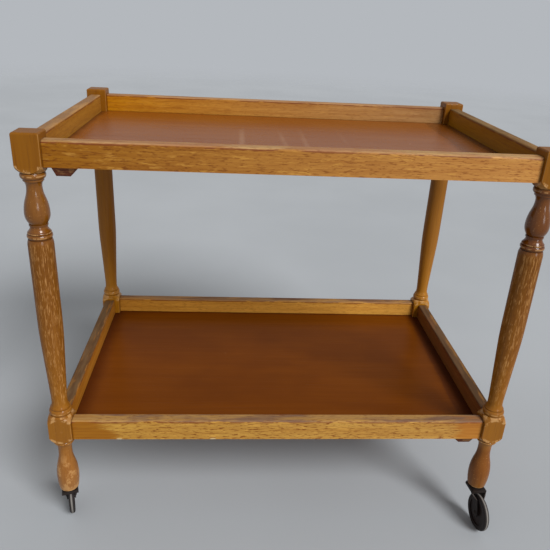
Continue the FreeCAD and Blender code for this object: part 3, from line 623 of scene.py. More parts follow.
@dataclass(frozen=True, kw_only=True)
class TurnedOak(Finish):
    """Varnished oak off the lathe: a tone for each stretch, rubbed edges, and dirt and painted
    shade in the quirks.
    """

    height: float
    post_centre: tuple[float, float]
    half_post: float

    # The colours up the leg, and what goes on them.
    tones: tuple[tuple[float, Colour], ...]
    bare: Colour = Colour(206, 160, 104)
    dash: Colour = Colour(206, 154, 92)
    stroke: Colour = Colour(176, 138, 96)
    patch: Colour = Colour(204, 154, 94)
    knock: Colour = Colour(224, 182, 122)
    stain: Colour = Colour(176, 134, 96)
    pore: Colour = Colour(140, 96, 60)
    # Dirt and painted shade in the quirks, the grooves between the turned rings.
    dirt_and_shade: Colour = Colour(62, 32, 12)
    front_shade: Colour = Colour(222, 212, 190)
    # Painted shade on the right front leg's foot and vase.
    foot_shade: Colour = Colour(218, 200, 138)
    vase_shade: Colour = Colour(220, 202, 162)

    # The grooves' heights and half widths, the rings' heights, and each shoulder's height and
    # which way it widens.
    quirks: tuple[tuple[float, float], ...]
    crests: tuple[float, ...]
    shoulders: tuple[tuple[float, int], ...]
    crest_width: float = 1.6 * MILLIMETRE
    shoulder_height: float = 13 * MILLIMETRE
    shoulder_foot: float = 15.3 * MILLIMETRE
    shoulder_width: float = 10.2 * MILLIMETRE
    shoulder_depth: Fade = (2.6 * MILLIMETRE, 1.2 * MILLIMETRE)
    shoulder_start: Fade = (0.0, 0.6 * MILLIMETRE)
    shoulder_end: float = 10 * MILLIMETRE

    # Where on the trolley, and where up the leg.
    front: Fade = (0.0, -0.05)
    left: Fade = (0.05, -0.05)
    right: Fade = (0.0, 0.05)
    mostly_right: Fade = (-0.5, 0.3)
    below_head: Fade = (0.628, 0.618)
    # Where the painted shade on the right front leg's vase and foot starts.
    shaded_vase: Fade = (0.520, 0.535)
    shaded_foot: Fade = (0.168, 0.150)
    glossy_vase: Band = ((0.520, 0.530), (0.628, 0.618))
    glossy_foot: Fade = (0.250, 0.235)
    dashed_body: Band = ((0.245, 0.260), (0.527, 0.519))
    # The dots on vases and feet are pale pinholes and painted glints.
    pricked_vase: Band = ((0.535, 0.545), (0.605, 0.595))
    pricked_foot: Fade = (0.165, 0.155)
    blotted_foot: Fade = (0.165, 0.120)
    knocked_block: Band = ((0.240, 0.225), (0.050, 0.190))

    # The marks.
    grain: Marks = Marks((110.0, 110.0, 4.0), 3.0)
    strokes: Marks = Marks((950.0, 950.0, 135.0), 5.0)
    lines: Noise = Noise((340.0, 340.0, 20.0), 5.0, detail=3.0, roughness=0.6)
    line_width: float = 0.05
    breaks: Noise = Noise((300.0, 300.0, 80.0), 7.0, fade=(0.42, 0.56))
    stripes: Noise = Noise((95.0, 95.0, 3.0), 8.0, fade=(0.34, 0.54))
    pinholes_and_glints: Marks = Marks((420.0, 420.0, 300.0), 6.0, 0.42)
    blots: Marks = Marks((48.0, 48.0, 34.0), 9.0, 0.74)
    knocks: Marks = Marks((120.0, 120.0, 90.0), 12.0, 0.4)
    rubs: Marks = Marks((120.0, 120.0, 60.0), 14.0, 0.85)
    edge_width: float = 1.1 * MILLIMETRE
    edge_seed: float = 2.0

    # How strong each is.
    streak_strength: float = 0.26
    pore_strength: float = 0.18
    dash_strength: float = 0.52
    pinhole_and_glint_strength: float = 0.6
    stroke_strength: float = 0.4
    blot_strength: float = 0.5
    knock_strength: float = 0.75
    rub_strength: float = 0.6
    edge_strength: float = 0.4
    dirt_and_shade_strength: float = 0.55
    blot_wear: float = 0.6
    dulled: float = 0.7
    foot_gloss: float = 0.5

    def draw(self, surface: Surface) -> Look:
        """Draw the finish.

        Args:
            surface: What it is drawn on.

        Returns:
            The look, for all four legs.
        """
        up = surface.parts[2]
        streaks, pores = surface.grain(self.grain)
        share = surface.step(up, 0.0, self.height, Shape.HARD)
        colour = surface.ramp(share, [(at / self.height, tone) for at, tone in self.tones])
        streaks = surface.times(streaks, self.streak_strength)
        colour = surface.blend(streaks, colour, self.stain, Laying.STAIN)
        pores = surface.times(pores, self.pore_strength)
        colour = surface.blend(pores, colour, self.pore, Laying.STAIN)
        colour = self.shaded(surface, colour)
        dashes, strokes = self.dashed(surface)
        colour = surface.blend(strokes, colour, self.stroke, Laying.STAIN)
        # The pale dashes, and the pinholes and painted glints, in one colour.
        colour = surface.blend(dashes, colour, self.dash)
        blots, knocks = self.patched(surface)
        colour = surface.blend(blots, colour, self.patch)
        colour = surface.blend(knocks, colour, self.knock)
        bare = self.bare_edges(surface)
        colour = surface.blend(bare, colour, self.bare)
        # Darken the quirks with dirt and painted shade.
        dirt_and_shade = surface.times(self.rings(surface, self.quirks), self.dirt_and_shade_strength)
        colour = surface.blend(dirt_and_shade, colour, self.dirt_and_shade)
        rough = surface.largest(surface.times(blots, self.blot_wear), knocks)
        wear = surface.largest(bare, rough, self.dull(surface))
        height = surface.minus(1.0, surface.largest(pores, bare))
        return Look(colour, wear, height)

    def shaded(self, surface: Surface, colour: Socket) -> Socket:
        """Darken the front legs' turned parts, and darken the right one's foot and vase more with
        painted shade.

        Args:
            surface: What the finish is drawn on.
            colour: The colour so far.

        Returns:
            The darkened colour.
        """
        across, along, up = surface.parts
        right = surface.step(across, *self.right)
        turned = surface.times(
            surface.step(along, *self.front), surface.step(up, *self.below_head),
        )
        # Painted shade on the right front leg's foot and vase.
        foot = surface.times(right, surface.step(up, *self.shaded_foot))
        vase = surface.times(turned, surface.step(up, *self.shaded_vase), right)
        shades = (turned, self.front_shade), (foot, self.foot_shade), (vase, self.vase_shade)
        for mask, shade in shades:
            colour = surface.blend(mask, colour, shade, Laying.STAIN)
        return colour

    def dull(self, surface: Surface) -> Socket:
        """Mask where the varnish is dull: all but the vases, and half the feet's.

        Args:
            surface: What the finish is drawn on.

        Returns:
            The mask.
        """
        up = surface.parts[2]
        feet = surface.times(surface.step(up, *self.glossy_foot), self.foot_gloss)
        glossy = surface.largest(surface.band(up, self.glossy_vase), feet)
        return surface.scaled(glossy, -self.dulled, self.dulled)

    @staticmethod
    def rings(surface: Surface, lines: Iterable[tuple[float, float]]) -> Socket:
        """Mask several level lines, each given by its height and its half width."""
        up = surface.parts[2]
        return surface.largest(*(surface.ring(up, middle, width) for middle, width in lines))

    def dashed(self, surface: Surface) -> tuple[Socket, Socket]:
        """Mask the dashes and strokes down the front legs, and the dots on vases and feet: pale
        pinholes and painted glints.

        Args:
            surface: What the finish is drawn on.

        Returns:
            The mask of the pale marks and the mask of the dark ones.
        """
        place = surface.place
        _, along, up = surface.parts
        body = surface.times(
            surface.step(along, *self.front), surface.band(up, self.dashed_body),
        )
        from_line = surface.away(surface.noise(place, self.lines), 0.5)
        dashes = surface.times(
            surface.step(from_line, self.line_width, 0.0),
            surface.mask(place, self.breaks),
            surface.mask(place, self.stripes),
            surface.times(body, self.dash_strength),
        )
        # Pale pinholes and painted glints on the vases and feet.
        pricked = surface.largest(
            surface.band(up, self.pricked_vase), surface.step(up, *self.pricked_foot),
        )
        dots = surface.times(surface.patches(self.pinholes_and_glints), pricked, self.pinhole_and_glint_strength)
        dark, _ = surface.flecks(self.strokes)
        strokes = surface.times(dark, surface.times(body, self.stroke_strength))
        return surface.largest(dashes, dots), strokes

    def patched(self, surface: Surface) -> tuple[Socket, Socket]:
        """Mask the worn patches on the left feet and the knocks low on the front legs.

        Args:
            surface: What the finish is drawn on.

        Returns:
            The two masks.
        """
        across, along, up = surface.parts
        left_foot = surface.times(
            surface.step(up, *self.blotted_foot), surface.step(across, *self.left),
        )
        near = surface.times(
            surface.step(along, *self.front), surface.step(across, *self.mostly_right),
        )
        block = surface.times(surface.band(up, self.knocked_block), near)
        return (
            surface.times(surface.patches(self.blots), left_foot, self.blot_strength),
            surface.times(surface.patches(self.knocks), block, self.knock_strength),
        )

    def bare_edges(self, surface: Surface) -> Socket:
        """Mask the arrises of the square blocks, their shoulders and the crests of the rings.

        Args:
            surface: What the finish is drawn on.

        Returns:
            The mask.
        """
        folded = surface.vector("ABSOLUTE", surface.place)
        half_height = self.height / 2
        edges = surface.group(surface.effects.edges, {
            "Vector": folded,
            "Centre": (*self.post_centre, half_height),
            "Half": (self.half_post, self.half_post, half_height),
            "Width": self.edge_width,
            "Amount": self.edge_strength,
            "Seed": self.edge_seed,
        })
        crests = self.rings(surface, [(crest, self.crest_width) for crest in self.crests])
        rubbed = surface.times(
            surface.largest(crests, self.slopes(surface, folded)),
            surface.times(surface.patches(self.rubs), self.rub_strength),
        )
        return surface.largest(edges.outputs[0], rubbed)

    def slopes(self, surface: Surface, folded: Socket) -> Socket:
        """Mask the sloping shoulders of the square blocks.

        Args:
            surface: What the finish is drawn on.
            folded: Where a point is, with all four legs laid on one.

        Returns:
            The mask.
        """
        up = surface.parts[2]
        from_axis = surface.vector("SUBTRACT", folded, (*self.post_centre, 0.0))
        flat = surface.vector("MULTIPLY", from_axis, (1.0, 1.0, 0.0))
        length = surface.add("ShaderNodeVectorMath", {0: flat}, operation="LENGTH")
        slope = self.shoulder_width / self.shoulder_height
        band = (self.shoulder_start, (self.shoulder_height, self.shoulder_end))
        masks = []
        for end, side in self.shoulders:
            rise = surface.times(surface.minus(up, end), side)
            profile = surface.scaled(rise, slope, self.shoulder_foot)
            near = surface.away(length.outputs["Value"], profile)
            masks.append(surface.times(
                surface.step(near, *self.shoulder_depth), surface.band(rise, band),
            ))
        return surface.largest(*masks)


Pattern = TypeVar("Pattern", Noise, Marks)


class Run(Enum):
    """The way that a rail runs: across the trolley, or along it from front to back."""

    ACROSS = 0
    ALONG = 1

    def of(self, surface: Surface) -> Socket:
        """Return a point's place along the rail."""
        return surface.parts[self.value]

    def turn(self, pattern: Pattern) -> Pattern:
        """Turn a pattern for a rail that runs across onto one that runs this way.

        Args:
            pattern: The pattern.

        Returns:
            The turned pattern.
        """
        if self is Run.ACROSS:
            return pattern
        across, along, up = pattern.density
        return replace(pattern, density=(along, across, up))


@dataclass(frozen=True, kw_only=True)
class RailOak(Finish):
    """Quarter-sawn oak with broken flecks on its face and a top that hands have rubbed bare."""

    run: Run
    top: float
    half_length: float
    rail_height: float = 36 * MILLIMETRE

    # The face's colour at each end, the worn top's two, and what goes on them.
    faces: tuple[Colour, Colour]
    bare: tuple[Colour, Colour]
    old: Colour = Colour(118, 74, 48)
    chip: Colour = Colour(216, 190, 140)
    plain: Colour = Colour(158, 102, 22)
    far_plain: Colour = Colour(184, 122, 48)
    stain: Colour = Colour(196, 158, 118)
    dark_fleck: Colour = Colour(160, 108, 60)
    light_fleck: Colour = Colour(220, 166, 76)
    lip: Colour = Colour(112, 52, 30)
    # Dirt and painted shadow in the joints at the rails' ends.
    dirt_and_shade: Colour = Colour(58, 22, 8)

    # A side rail's outer face has its own colour, past the middle of its thickness, so that the
    # painted shade on the lower right rail's inner face stays inside.
    outer: Colour | None = None
    middle: float = 0.0
    outer_fade: float = 1.0 * MILLIMETRE

    # Some rails' ends are plain, without figure, and some are chipped along the lower edge.
    plain_end: Fade | None = None
    far_end: Fade = (0.328, 0.346)
    end_edge: Noise = Noise((24.0, 280.0, 280.0), 27.0, detail=3.0, roughness=0.6)
    end_wander: float = 80 * MILLIMETRE
    end_slant: float = 1.2
    chips: tuple[float, ...] = ()
    chip_reach: Fade = (6.0 * MILLIMETRE, 2.0 * MILLIMETRE)
    chip_height: float = 3.4 * MILLIMETRE

    # The marks.  Each density is that of a rail that runs across.
    grain: Marks = Marks((5.0, 150.0, 150.0), 11.0)
    flecks: Marks = Marks((78.0, 470.0, 470.0), 21.0)
    tint: Noise = Noise((7.0, 40.0, 40.0), 36.0, detail=3.0, roughness=0.6, fade=(0.42, 0.58))
    rubs: Marks = Marks((11.0, 95.0, 95.0), 31.0, 0.95)
    lip_edge: Noise = Noise(
        (16.0, 60.0, 60.0), 6.0, detail=4.0, roughness=0.7, fade=(0.43, 0.51),
    )
    lip_wander: float = 5.0 * MILLIMETRE

    # How far below the top each starts, and how wide it is.
    bare_depth: Fade = (2.4 * MILLIMETRE, 1.2 * MILLIMETRE)
    lip_depth: float = 2.8 * MILLIMETRE
    lip_width: float = 1.8 * MILLIMETRE
    dirt_and_shade_width: float = 2.0 * MILLIMETRE

    # How strong each is.
    fleck_strength: float
    light_strength: float = 0.5
    streak_strength: float = 0.45
    pore_strength: float = 0.35
    old_strength: float = 0.7
    dirt_and_shade_strength: float = 0.7
    lip_strength: float = 0.8
    least_bare: float = 0.55
    mark_depth: float = 0.6

    def draw(self, surface: Surface) -> Look:
        """Draw the finish.

        Args:
            surface: What it is drawn on.

        Returns:
            The look.
        """
        colour, marks = self.face(surface)
        bare, lip = self.rubbed_top(surface)
        worn = surface.blend(surface.mask(surface.place, self.run.turn(self.tint)), *self.bare)
        worn = surface.blend(surface.times(marks, self.old_strength), worn, self.old)
        colour = surface.blend(bare, colour, worn)
        colour = surface.blend(lip, colour, self.lip)
        # Darken the ends, where the rails meet the posts, with dirt and painted shadow.
        from_middle = surface.unsigned(self.run.of(surface))
        end = surface.step(from_middle, self.half_length - self.dirt_and_shade_width, self.half_length)
        colour = surface.blend(surface.times(end, self.dirt_and_shade_strength), colour, self.dirt_and_shade)
        if self.chips:
            colour = surface.blend(self.chipped(surface), colour, self.chip)
        height = surface.minus(1.0, surface.times(marks, self.mark_depth))
        return Look(colour, bare, height)

    def face(self, surface: Surface) -> tuple[Socket, Socket]:
        """Draw the rail's face.

        Args:
            surface: What the finish is drawn on.

        Returns:
            The colour, and the mask of its dark marks.
        """
        streaks, pores = surface.grain(self.run.turn(self.grain))
        dark, light = surface.flecks(self.run.turn(self.flecks))
        run = self.run.of(surface)
        share = surface.step(run, -self.half_length, self.half_length, Shape.HARD)
        base = surface.blend(share, *self.faces)
        if self.outer:
            beside = surface.unsigned(surface.parts[0])
            outside = surface.step(beside, self.middle, self.middle + self.outer_fade)
            base = surface.blend(outside, base, self.outer)
        strength = self.fleck_strength
        if self.plain_end:
            figured, far = self.figured(surface)
            base = surface.blend(figured, self.plain, base)
            base = surface.blend(far, base, self.far_plain)
            strength = surface.times(surface.minus(figured, far), strength)
        streaks = surface.times(streaks, self.streak_strength)
        colour = surface.blend(streaks, base, self.stain, Laying.STAIN)
        light = surface.times(light, surface.times(strength, self.light_strength))
        colour = surface.blend(light, colour, self.light_fleck)
        dark = surface.times(dark, strength)
        dark = surface.largest(dark, surface.times(pores, self.pore_strength))
        return surface.blend(dark, colour, self.dark_fleck, Laying.STAIN), dark

    def figured(self, surface: Surface) -> tuple[Socket, Socket]:
        """Mask where the figure has come in, past a ragged slanting end, and the plain far end.

        Args:
            surface: What the finish is drawn on.

        Returns:
            The two masks.
        """
        edge = surface.noise(surface.place, self.run.turn(self.end_edge))
        reach = surface.plus(self.run.of(surface), surface.times(edge, self.end_wander))
        below = surface.minus(self.top, surface.parts[2])
        shifted = surface.minus(reach, surface.times(below, self.end_slant))
        return surface.step(shifted, *self.plain_end), surface.step(reach, *self.far_end)

    def rubbed_top(self, surface: Surface) -> tuple[Socket, Socket]:
        """Mask the bare wood along the top and the dark line where the varnish ends.

        Args:
            surface: What the finish is drawn on.

        Returns:
            The two masks.
        """
        edge = surface.noise(surface.place, self.run.turn(self.lip_edge))
        shift = surface.times(surface.minus(edge, 0.5), self.lip_wander)
        height = surface.plus(surface.parts[2], shift)
        top = surface.step(height, *(self.top - depth for depth in self.bare_depth))
        rubs = surface.patches(self.run.turn(self.rubs))
        bare = surface.times(top, surface.scaled(rubs, 1.0 - self.least_bare, self.least_bare))
        line = surface.ring(height, self.top - self.lip_depth, self.lip_width)
        broken = surface.step(edge, *self.lip_edge.fade)
        return bare, surface.times(line, surface.times(broken, self.lip_strength))

    def chipped(self, surface: Surface) -> Socket:
        """Mask the small chips along the lower edge.

        Args:
            surface: What the finish is drawn on.

        Returns:
            The mask.
        """
        bottom = self.top - self.rail_height
        low = surface.step(surface.parts[2], bottom + self.chip_height, bottom)
        run = self.run.of(surface)
        return surface.largest(*(
            surface.times(surface.step(surface.away(run, spot), *self.chip_reach), low)
            for spot in self.chips
        ))


@dataclass(frozen=True, kw_only=True)
class TrayVeneer(Finish):
    """A polished tray bottom with quiet figure, clouds, a few cross streaks, and dark edges and a
    strip of painted shade.
    """

    half_size: tuple[float, float]
    light: Colour
    dark: Colour
    cloud: Colour
    # The colour of the painted shade: the strip at the right and the rim along the rails.
    edge: Colour
    rubbed: Colour = Colour(190, 148, 112)

    # The marks.
    grain: Marks = Marks((2.5, 70.0, 70.0), 41.0)
    clouds: Noise = Noise((5.0, 8.0, 5.0), 47.0, detail=3.0, roughness=0.55, fade=(0.42, 0.66))
    scuffs: Marks = Marks((45.0, 90.0, 45.0), 57.0, 0.22)

    # The pale streaks, each given by its place and its strength.
    streaks: tuple[tuple[float, float], ...]
    streak_line: Noise = Noise((60.0, 6.0, 1.0), 52.0, fade=(-0.12, 0.06))
    streak_wander: float = 6.0 * MILLIMETRE
    streak_reach: Fade = (7.0 * MILLIMETRE, 1.0 * MILLIMETRE)
    streaked: Fade = (0.12, 0.0)

    # The dark rim, worn and darkened with painted shade, and the wider strip on the right,
    # painted shade and the right rail's painted reflection.
    edge_width: tuple[float, float]
    rim_edge: Noise = Noise(40.0, 59.0, detail=3.0, roughness=0.6)
    rim_wander: float = 12 * MILLIMETRE
    shade_width: float
    shade_edge: Noise = Noise(25.0, 61.0)
    shade_wander: float = 10 * MILLIMETRE
    shade_slope: float = -1.1
    shade_fade: float = 0.25

    # How strong each is.
    figure_strength: float = 0.5
    cloud_strength: float = 0.5
    scuff_strength: float = 0.25
    shade_strength: float = 0.5
    rim_strength: float = 0.8
    rim_wear: float = 0.6

    def draw(self, surface: Surface) -> Look:
        """Draw the finish.

        Args:
            surface: What it is drawn on.

        Returns:
            The look.
        """
        streaks, pores = surface.grain(self.grain)
        figure = surface.times(streaks, self.figure_strength)
        colour = surface.blend(figure, self.light, self.dark)
        clouds = surface.times(surface.mask(surface.place, self.clouds), self.cloud_strength)
        colour = surface.blend(clouds, colour, self.cloud)
        colour = surface.blend(self.cross_streaks(surface), colour, self.rubbed)
        scuffs = surface.times(surface.patches(self.scuffs), self.scuff_strength)
        colour = surface.blend(scuffs, colour, self.rubbed)
        # Painted shade and the right rail's painted reflection, in the strip at the right.
        colour = surface.blend(self.shade(surface), colour, self.edge)
        # The rim along the rails: worn, and darkened with painted shade.
        rim = self.rim(surface)
        colour = surface.blend(surface.times(rim, self.rim_strength), colour, self.edge)
        wear = surface.largest(scuffs, surface.times(rim, self.rim_wear))
        return Look(colour, wear, surface.minus(1.0, pores))

    def cross_streaks(self, surface: Surface) -> Socket:
        """Mask the few faint pale streaks that cross the figure.

        Args:
            surface: What the finish is drawn on.

        Returns:
            The mask.
        """
        across, along, _ = surface.parts
        waver = surface.minus(surface.noise(surface.place, self.streak_line), 0.5)
        bent = surface.scaled(waver, self.streak_wander, across)
        fade = surface.times(
            surface.step(waver, *self.streak_line.fade), surface.step(along, *self.streaked),
        )
        streaks = [
            surface.times(surface.step(surface.away(bent, middle), *self.streak_reach), strength)
            for middle, strength in self.streaks
        ]
        return surface.times(surface.largest(0.0, *streaks), fade)

    def shade(self, surface: Surface) -> Socket:
        """Mask the strip of painted shade and of the right rail's painted reflection, which
        widens towards the front.

        Args:
            surface: What the finish is drawn on.

        Returns:
            The mask.
        """
        across, along, _ = surface.parts
        edge = surface.noise(surface.place, self.shade_edge)
        reach = surface.scaled(along, self.shade_slope * self.shade_width, across)
        reach = surface.plus(reach, surface.times(edge, self.shade_wander))
        start = self.half_size[0] - self.shade_width
        shade = surface.step(reach, start, start + self.shade_fade * self.shade_width)
        return surface.times(shade, self.shade_strength)

    def rim(self, surface: Surface) -> Socket:
        """Mask the dark edge along the rails, worn and darkened with painted shade, wider and
        raggeder at the two ends.

        Args:
            surface: What the finish is drawn on.

        Returns:
            The mask.
        """
        edge = surface.noise(surface.place, self.rim_edge)
        ragged = surface.times(edge, self.rim_wander)
        masks = []
        for part, half, width in zip(surface.parts, self.half_size, self.edge_width):
            reach = surface.plus(surface.unsigned(part), ragged)
            end = half + self.rim_wander / 2
            masks.append(surface.step(reach, end - width, end))
        return surface.largest(*masks)


@dataclass(frozen=True, kw_only=True)
class BlockWood(Finish):
    """Stained softwood, sawn rather than planed."""

    light: Colour = Colour(104, 54, 30)
    dark: Colour = Colour(66, 28, 15)
    scuff: Colour = Colour(148, 108, 66)
    grain: Marks = Marks((18.0, 260.0, 260.0), 61.0)
    scuffs: Marks = Marks((60.0, 90.0, 90.0), 64.0, 0.68)
    scuff_strength: float = 0.55

    def draw(self, surface: Surface) -> Look:
        """Draw the finish.

        Args:
            surface: What it is drawn on.

        Returns:
            The look.
        """
        streaks, _ = surface.grain(self.grain)
        scuffs = surface.patches(self.scuffs)
        colour = surface.blend(streaks, self.light, self.dark)
        colour = surface.blend(surface.times(scuffs, self.scuff_strength), colour, self.scuff)
        return Look(colour, scuffs, streaks)


@dataclass(frozen=True, kw_only=True)
class CastorMetal(Finish):
    """Steel with its plating dulled, spots of rust and grime."""

    plate: Colour
    rust: Colour
    rusted: float
    grime: Colour = Colour(30, 22, 18)
    film: Noise = Noise(140.0, 74.0, detail=3.0, roughness=0.6, fade=(0.45, 0.7))
    film_strength: float = 0.55
    spots: Marks = Marks((260.0, 260.0, 260.0), 71.0)

    def draw(self, surface: Surface) -> Look:
        """Draw the finish.

        Args:
            surface: What it is drawn on.

        Returns:
            The look.
        """
        spots = surface.patches(replace(self.spots, amount=self.rusted))
        film = surface.times(surface.mask(surface.place, self.film), self.film_strength)
        colour = surface.blend(film, self.plate, self.grime)
        return Look(surface.blend(spots, colour, self.rust), spots, spots)


@dataclass(frozen=True, kw_only=True)
class WheelPlastic(Finish):
    """Dark moulded phenolic with a faint marbling and dust."""

    dark: Colour = Colour(36, 26, 24)
    light: Colour = Colour(46, 34, 30)
    dust: Colour = Colour(84, 74, 68)
    marbling: Noise = Noise(60.0, 81.0, detail=4.0, roughness=0.6, fade=(0.4, 0.65))
    specks: Marks = Marks((220.0, 220.0, 220.0), 84.0, 0.3)
    dust_strength: float = 0.3

    def draw(self, surface: Surface) -> Look:
        """Draw the finish.

        Args:
            surface: What it is drawn on.

        Returns:
            The look.
        """
        marbling = surface.mask(surface.place, self.marbling)
        colour = surface.blend(marbling, self.dark, self.light)
        dusty = surface.times(surface.patches(self.specks), self.dust_strength)
        return Look(surface.blend(dusty, colour, self.dust), dusty, marbling)


TREAD = "tread"


@dataclass(frozen=True, kw_only=True)
class TyreRubber(Finish):
    """Hard rubber, dark at the sides and rubbed grey in the tread."""

    side: Colour = Colour(40, 34, 33)
    tread: Colour = Colour(126, 121, 116)
    grit: Colour = Colour(112, 106, 100)
    grains: Marks = Marks((300.0, 300.0, 300.0), 91.0, 0.55)
    grit_strength: float = 0.6

    def draw(self, surface: Surface) -> Look:
        """Draw the finish.

        Args:
            surface: What it is drawn on.

        Returns:
            The look.
        """
        rubbed = surface.add("ShaderNodeAttribute", attribute_name=TREAD).outputs["Fac"]
        grit = surface.patches(self.grains)
        tread = surface.blend(surface.times(grit, self.grit_strength), self.tread, self.grit)
        return Look(surface.blend(rubbed, self.side, tread), rubbed, grit)


# ---------------------------------------------------------------- repeated and turned pieces
class NodeShape(Nodes):
    """A Geometry Nodes tree with named sizes, whose result is kept as a plain mesh."""

    def __init__(self, name: str, sizes: dict[str, tuple[str, Value]]) -> None:
        """Start the tree.

        Args:
            name: The tree's name.
            sizes: Each named input's socket type and value.
        """
        super().__init__(bpy.data.node_groups.new(name, "GeometryNodeTree"))
        self.values = {title: value for title, (_, value) in sizes.items()}
        interface = self.tree.interface
        interface.new_socket("Geometry", in_out="INPUT", socket_type="NodeSocketGeometry")
        for title, (kind, _) in sizes.items():
            interface.new_socket(title, in_out="INPUT", socket_type=kind)
        interface.new_socket("Geometry", in_out="OUTPUT", socket_type="NodeSocketGeometry")
        self.given = self.tree.nodes.new("NodeGroupInput").outputs
        self.end = self.tree.nodes.new("NodeGroupOutput").inputs[0]

    @cached_property
    def parts(self) -> tuple[Socket, Socket, Socket]:
        """The X, Y and Z of a point of the shape."""
        return self.split(self.add("GeometryNodeInputPosition").outputs[0])

    def finish(self, shape: Socket, material: bpy.types.Material) -> None:
        """End the tree: make every copy real and give it its material.

        Args:
            shape: The finished shape.
            material: Its material.
        """
        real = self.add("GeometryNodeRealizeInstances", {"Geometry": shape})
        dressed = self.add("GeometryNodeSetMaterial", {
            "Geometry": real.outputs[0], "Material": material,
        })
        self.feed(self.end, dressed.outputs[0])

    def bake(self, name: str, places: Sequence[Vector]) -> bpy.types.Object:
        """Run the tree on some points and keep the result.

        Args:
            name: The piece's name.
            places: The points that the tree works from.

        Returns:
            The piece, a plain mesh with no modifier.
        """
        points = bpy.data.meshes.new(f"{name}_places")
        points.from_pydata([tuple(place) for place in places], [], [])
        piece = bpy.data.objects.new(name, points)
        bpy.context.scene.collection.objects.link(piece)
        modifier = piece.modifiers.new(self.tree.name, "NODES")
        modifier.node_group = self.tree
        for item in self.tree.interface.items_tree:
            if item.in_out == "INPUT" and item.name in self.values:
                modifier[item.identifier] = self.values[item.name]
        evaluated = piece.evaluated_get(bpy.context.evaluated_depsgraph_get())
        made = bpy.data.meshes.new_from_object(evaluated)
        piece.modifiers.remove(modifier)
        piece.data = made
        made.name = name
        bpy.data.meshes.remove(points)
        return piece


@dataclass
class SlottedScrews:
    """The countersunk wood screws with slotted heads that hold one tray's glue blocks.

    The shank is a little thinner and shorter than its size, so that it starts inside the head.
    The slot's cutter is wider than the head, and its middle lies in the head's face.
    """

    tray: str
    head_radius: float = 3.6 * MILLIMETRE
    shank_radius: float = 1.8 * MILLIMETRE
    tip_radius: float = 0.3 * MILLIMETRE
    length: float = 26 * MILLIMETRE
    slot_width: float = 1.0 * MILLIMETRE
    slot_depth: float = 1.0 * MILLIMETRE
    head_sides: int = 32
    shank_sides: int = 24
    thinned: float = 0.98
    shortened: float = 0.96
    cutter_length: float = 3.0
    cutter_depth: float = 2.0
    tolerance: float = 0.1 * MILLIMETRE
    seed: int = 4

    def build(self, material: bpy.types.Material) -> bpy.types.Object:
        """Build the screws where the tray's plain ones are.

        Args:
            material: The steel.

        Returns:
            The piece, which stands for the plain screws.
        """
        shape = NodeShape(f"{self.tray}_slotted_screws", {
            "Head Radius": (FLOAT, self.head_radius),
            "Shank Radius": (FLOAT, self.shank_radius),
            "Length": (FLOAT, self.length),
            "Slot Width": (FLOAT, self.slot_width),
            "Slot Depth": (FLOAT, self.slot_depth),
            "Seed": ("NodeSocketInt", self.seed),
        })
        given = shape.given
        whole = self.shank_and_head(shape)
        size = shape.add("ShaderNodeCombineXYZ", {
            "X": shape.times(given["Head Radius"], self.cutter_length),
            "Y": given["Slot Width"],
            "Z": shape.times(given["Slot Depth"], self.cutter_depth),
        })
        slot = shape.add("GeometryNodeMeshCube", {"Size": size.outputs[0]})
        cut = shape.add("GeometryNodeMeshBoolean", {
            "Mesh 1": whole, "Mesh 2": slot.outputs["Mesh"],
        }, operation="DIFFERENCE", solver="EXACT")
        turn = shape.add("FunctionNodeRandomValue", {"Max": math.tau, "Seed": given["Seed"]})
        turned = shape.add("ShaderNodeCombineXYZ", {"Z": turn.outputs[1]})
        spread = shape.add("GeometryNodeInstanceOnPoints", {
            "Points": given["Geometry"], "Instance": cut.outputs["Mesh"],
            "Rotation": turned.outputs[0],
        })
        shape.finish(spread.outputs[0], material)
        plain = f"{self.tray}_block_screws"
        piece = shape.bake(f"{self.tray}_slotted_screws", self.places(plain))
        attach(piece, "frame")
        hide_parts(plain)
        return piece

    def shank_and_head(self, shape: NodeShape) -> Socket:
        """Make one screw without its slot, head down and with the head's face at the origin.

        Args:
            shape: The tree.

        Returns:
            The screw.
        """
        given = shape.given
        taper = shape.minus(given["Head Radius"], given["Shank Radius"])
        head = shape.add("GeometryNodeMeshCone", {
            "Vertices": self.head_sides, "Radius Top": given["Shank Radius"],
            "Radius Bottom": given["Head Radius"], "Depth": taper,
        })
        shank = shape.add("GeometryNodeMeshCone", {
            "Vertices": self.shank_sides, "Radius Top": self.tip_radius,
            "Radius Bottom": shape.times(given["Shank Radius"], self.thinned),
            "Depth": given["Length"],
        })
        lift = shape.add("ShaderNodeCombineXYZ", {"Z": shape.times(taper, 0.5)})
        raised = shape.add("GeometryNodeTransform", {
            "Geometry": shank.outputs["Mesh"], "Translation": lift.outputs[0],
            "Scale": (1.0, 1.0, self.shortened),
        })
        whole = shape.add("GeometryNodeMeshBoolean", {
            "Mesh 2": head.outputs["Mesh"],
        }, operation="UNION", solver="EXACT")
        shape.feed(whole.inputs["Mesh 2"], raised.outputs[0])
        return whole.outputs["Mesh"]

    def places(self, node: str) -> list[Vector]:
        """Find the middle of each screw's head, under its tip.

        Args:
            node: The node of the plain screws.

        Returns:
            The middles, at the height of the heads' faces.
        """
        low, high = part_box(node)
        tips: list[Vector] = []
        for vertex in frame["nodes"][node].data.vertices:
            spot = Vector((vertex.co.x, vertex.co.y, low.z))
            known = any((tip - spot).length < MILLIMETRE for tip in tips)
            if vertex.co.z > high.z - self.tolerance and not known:
                tips.append(spot)
        return tips


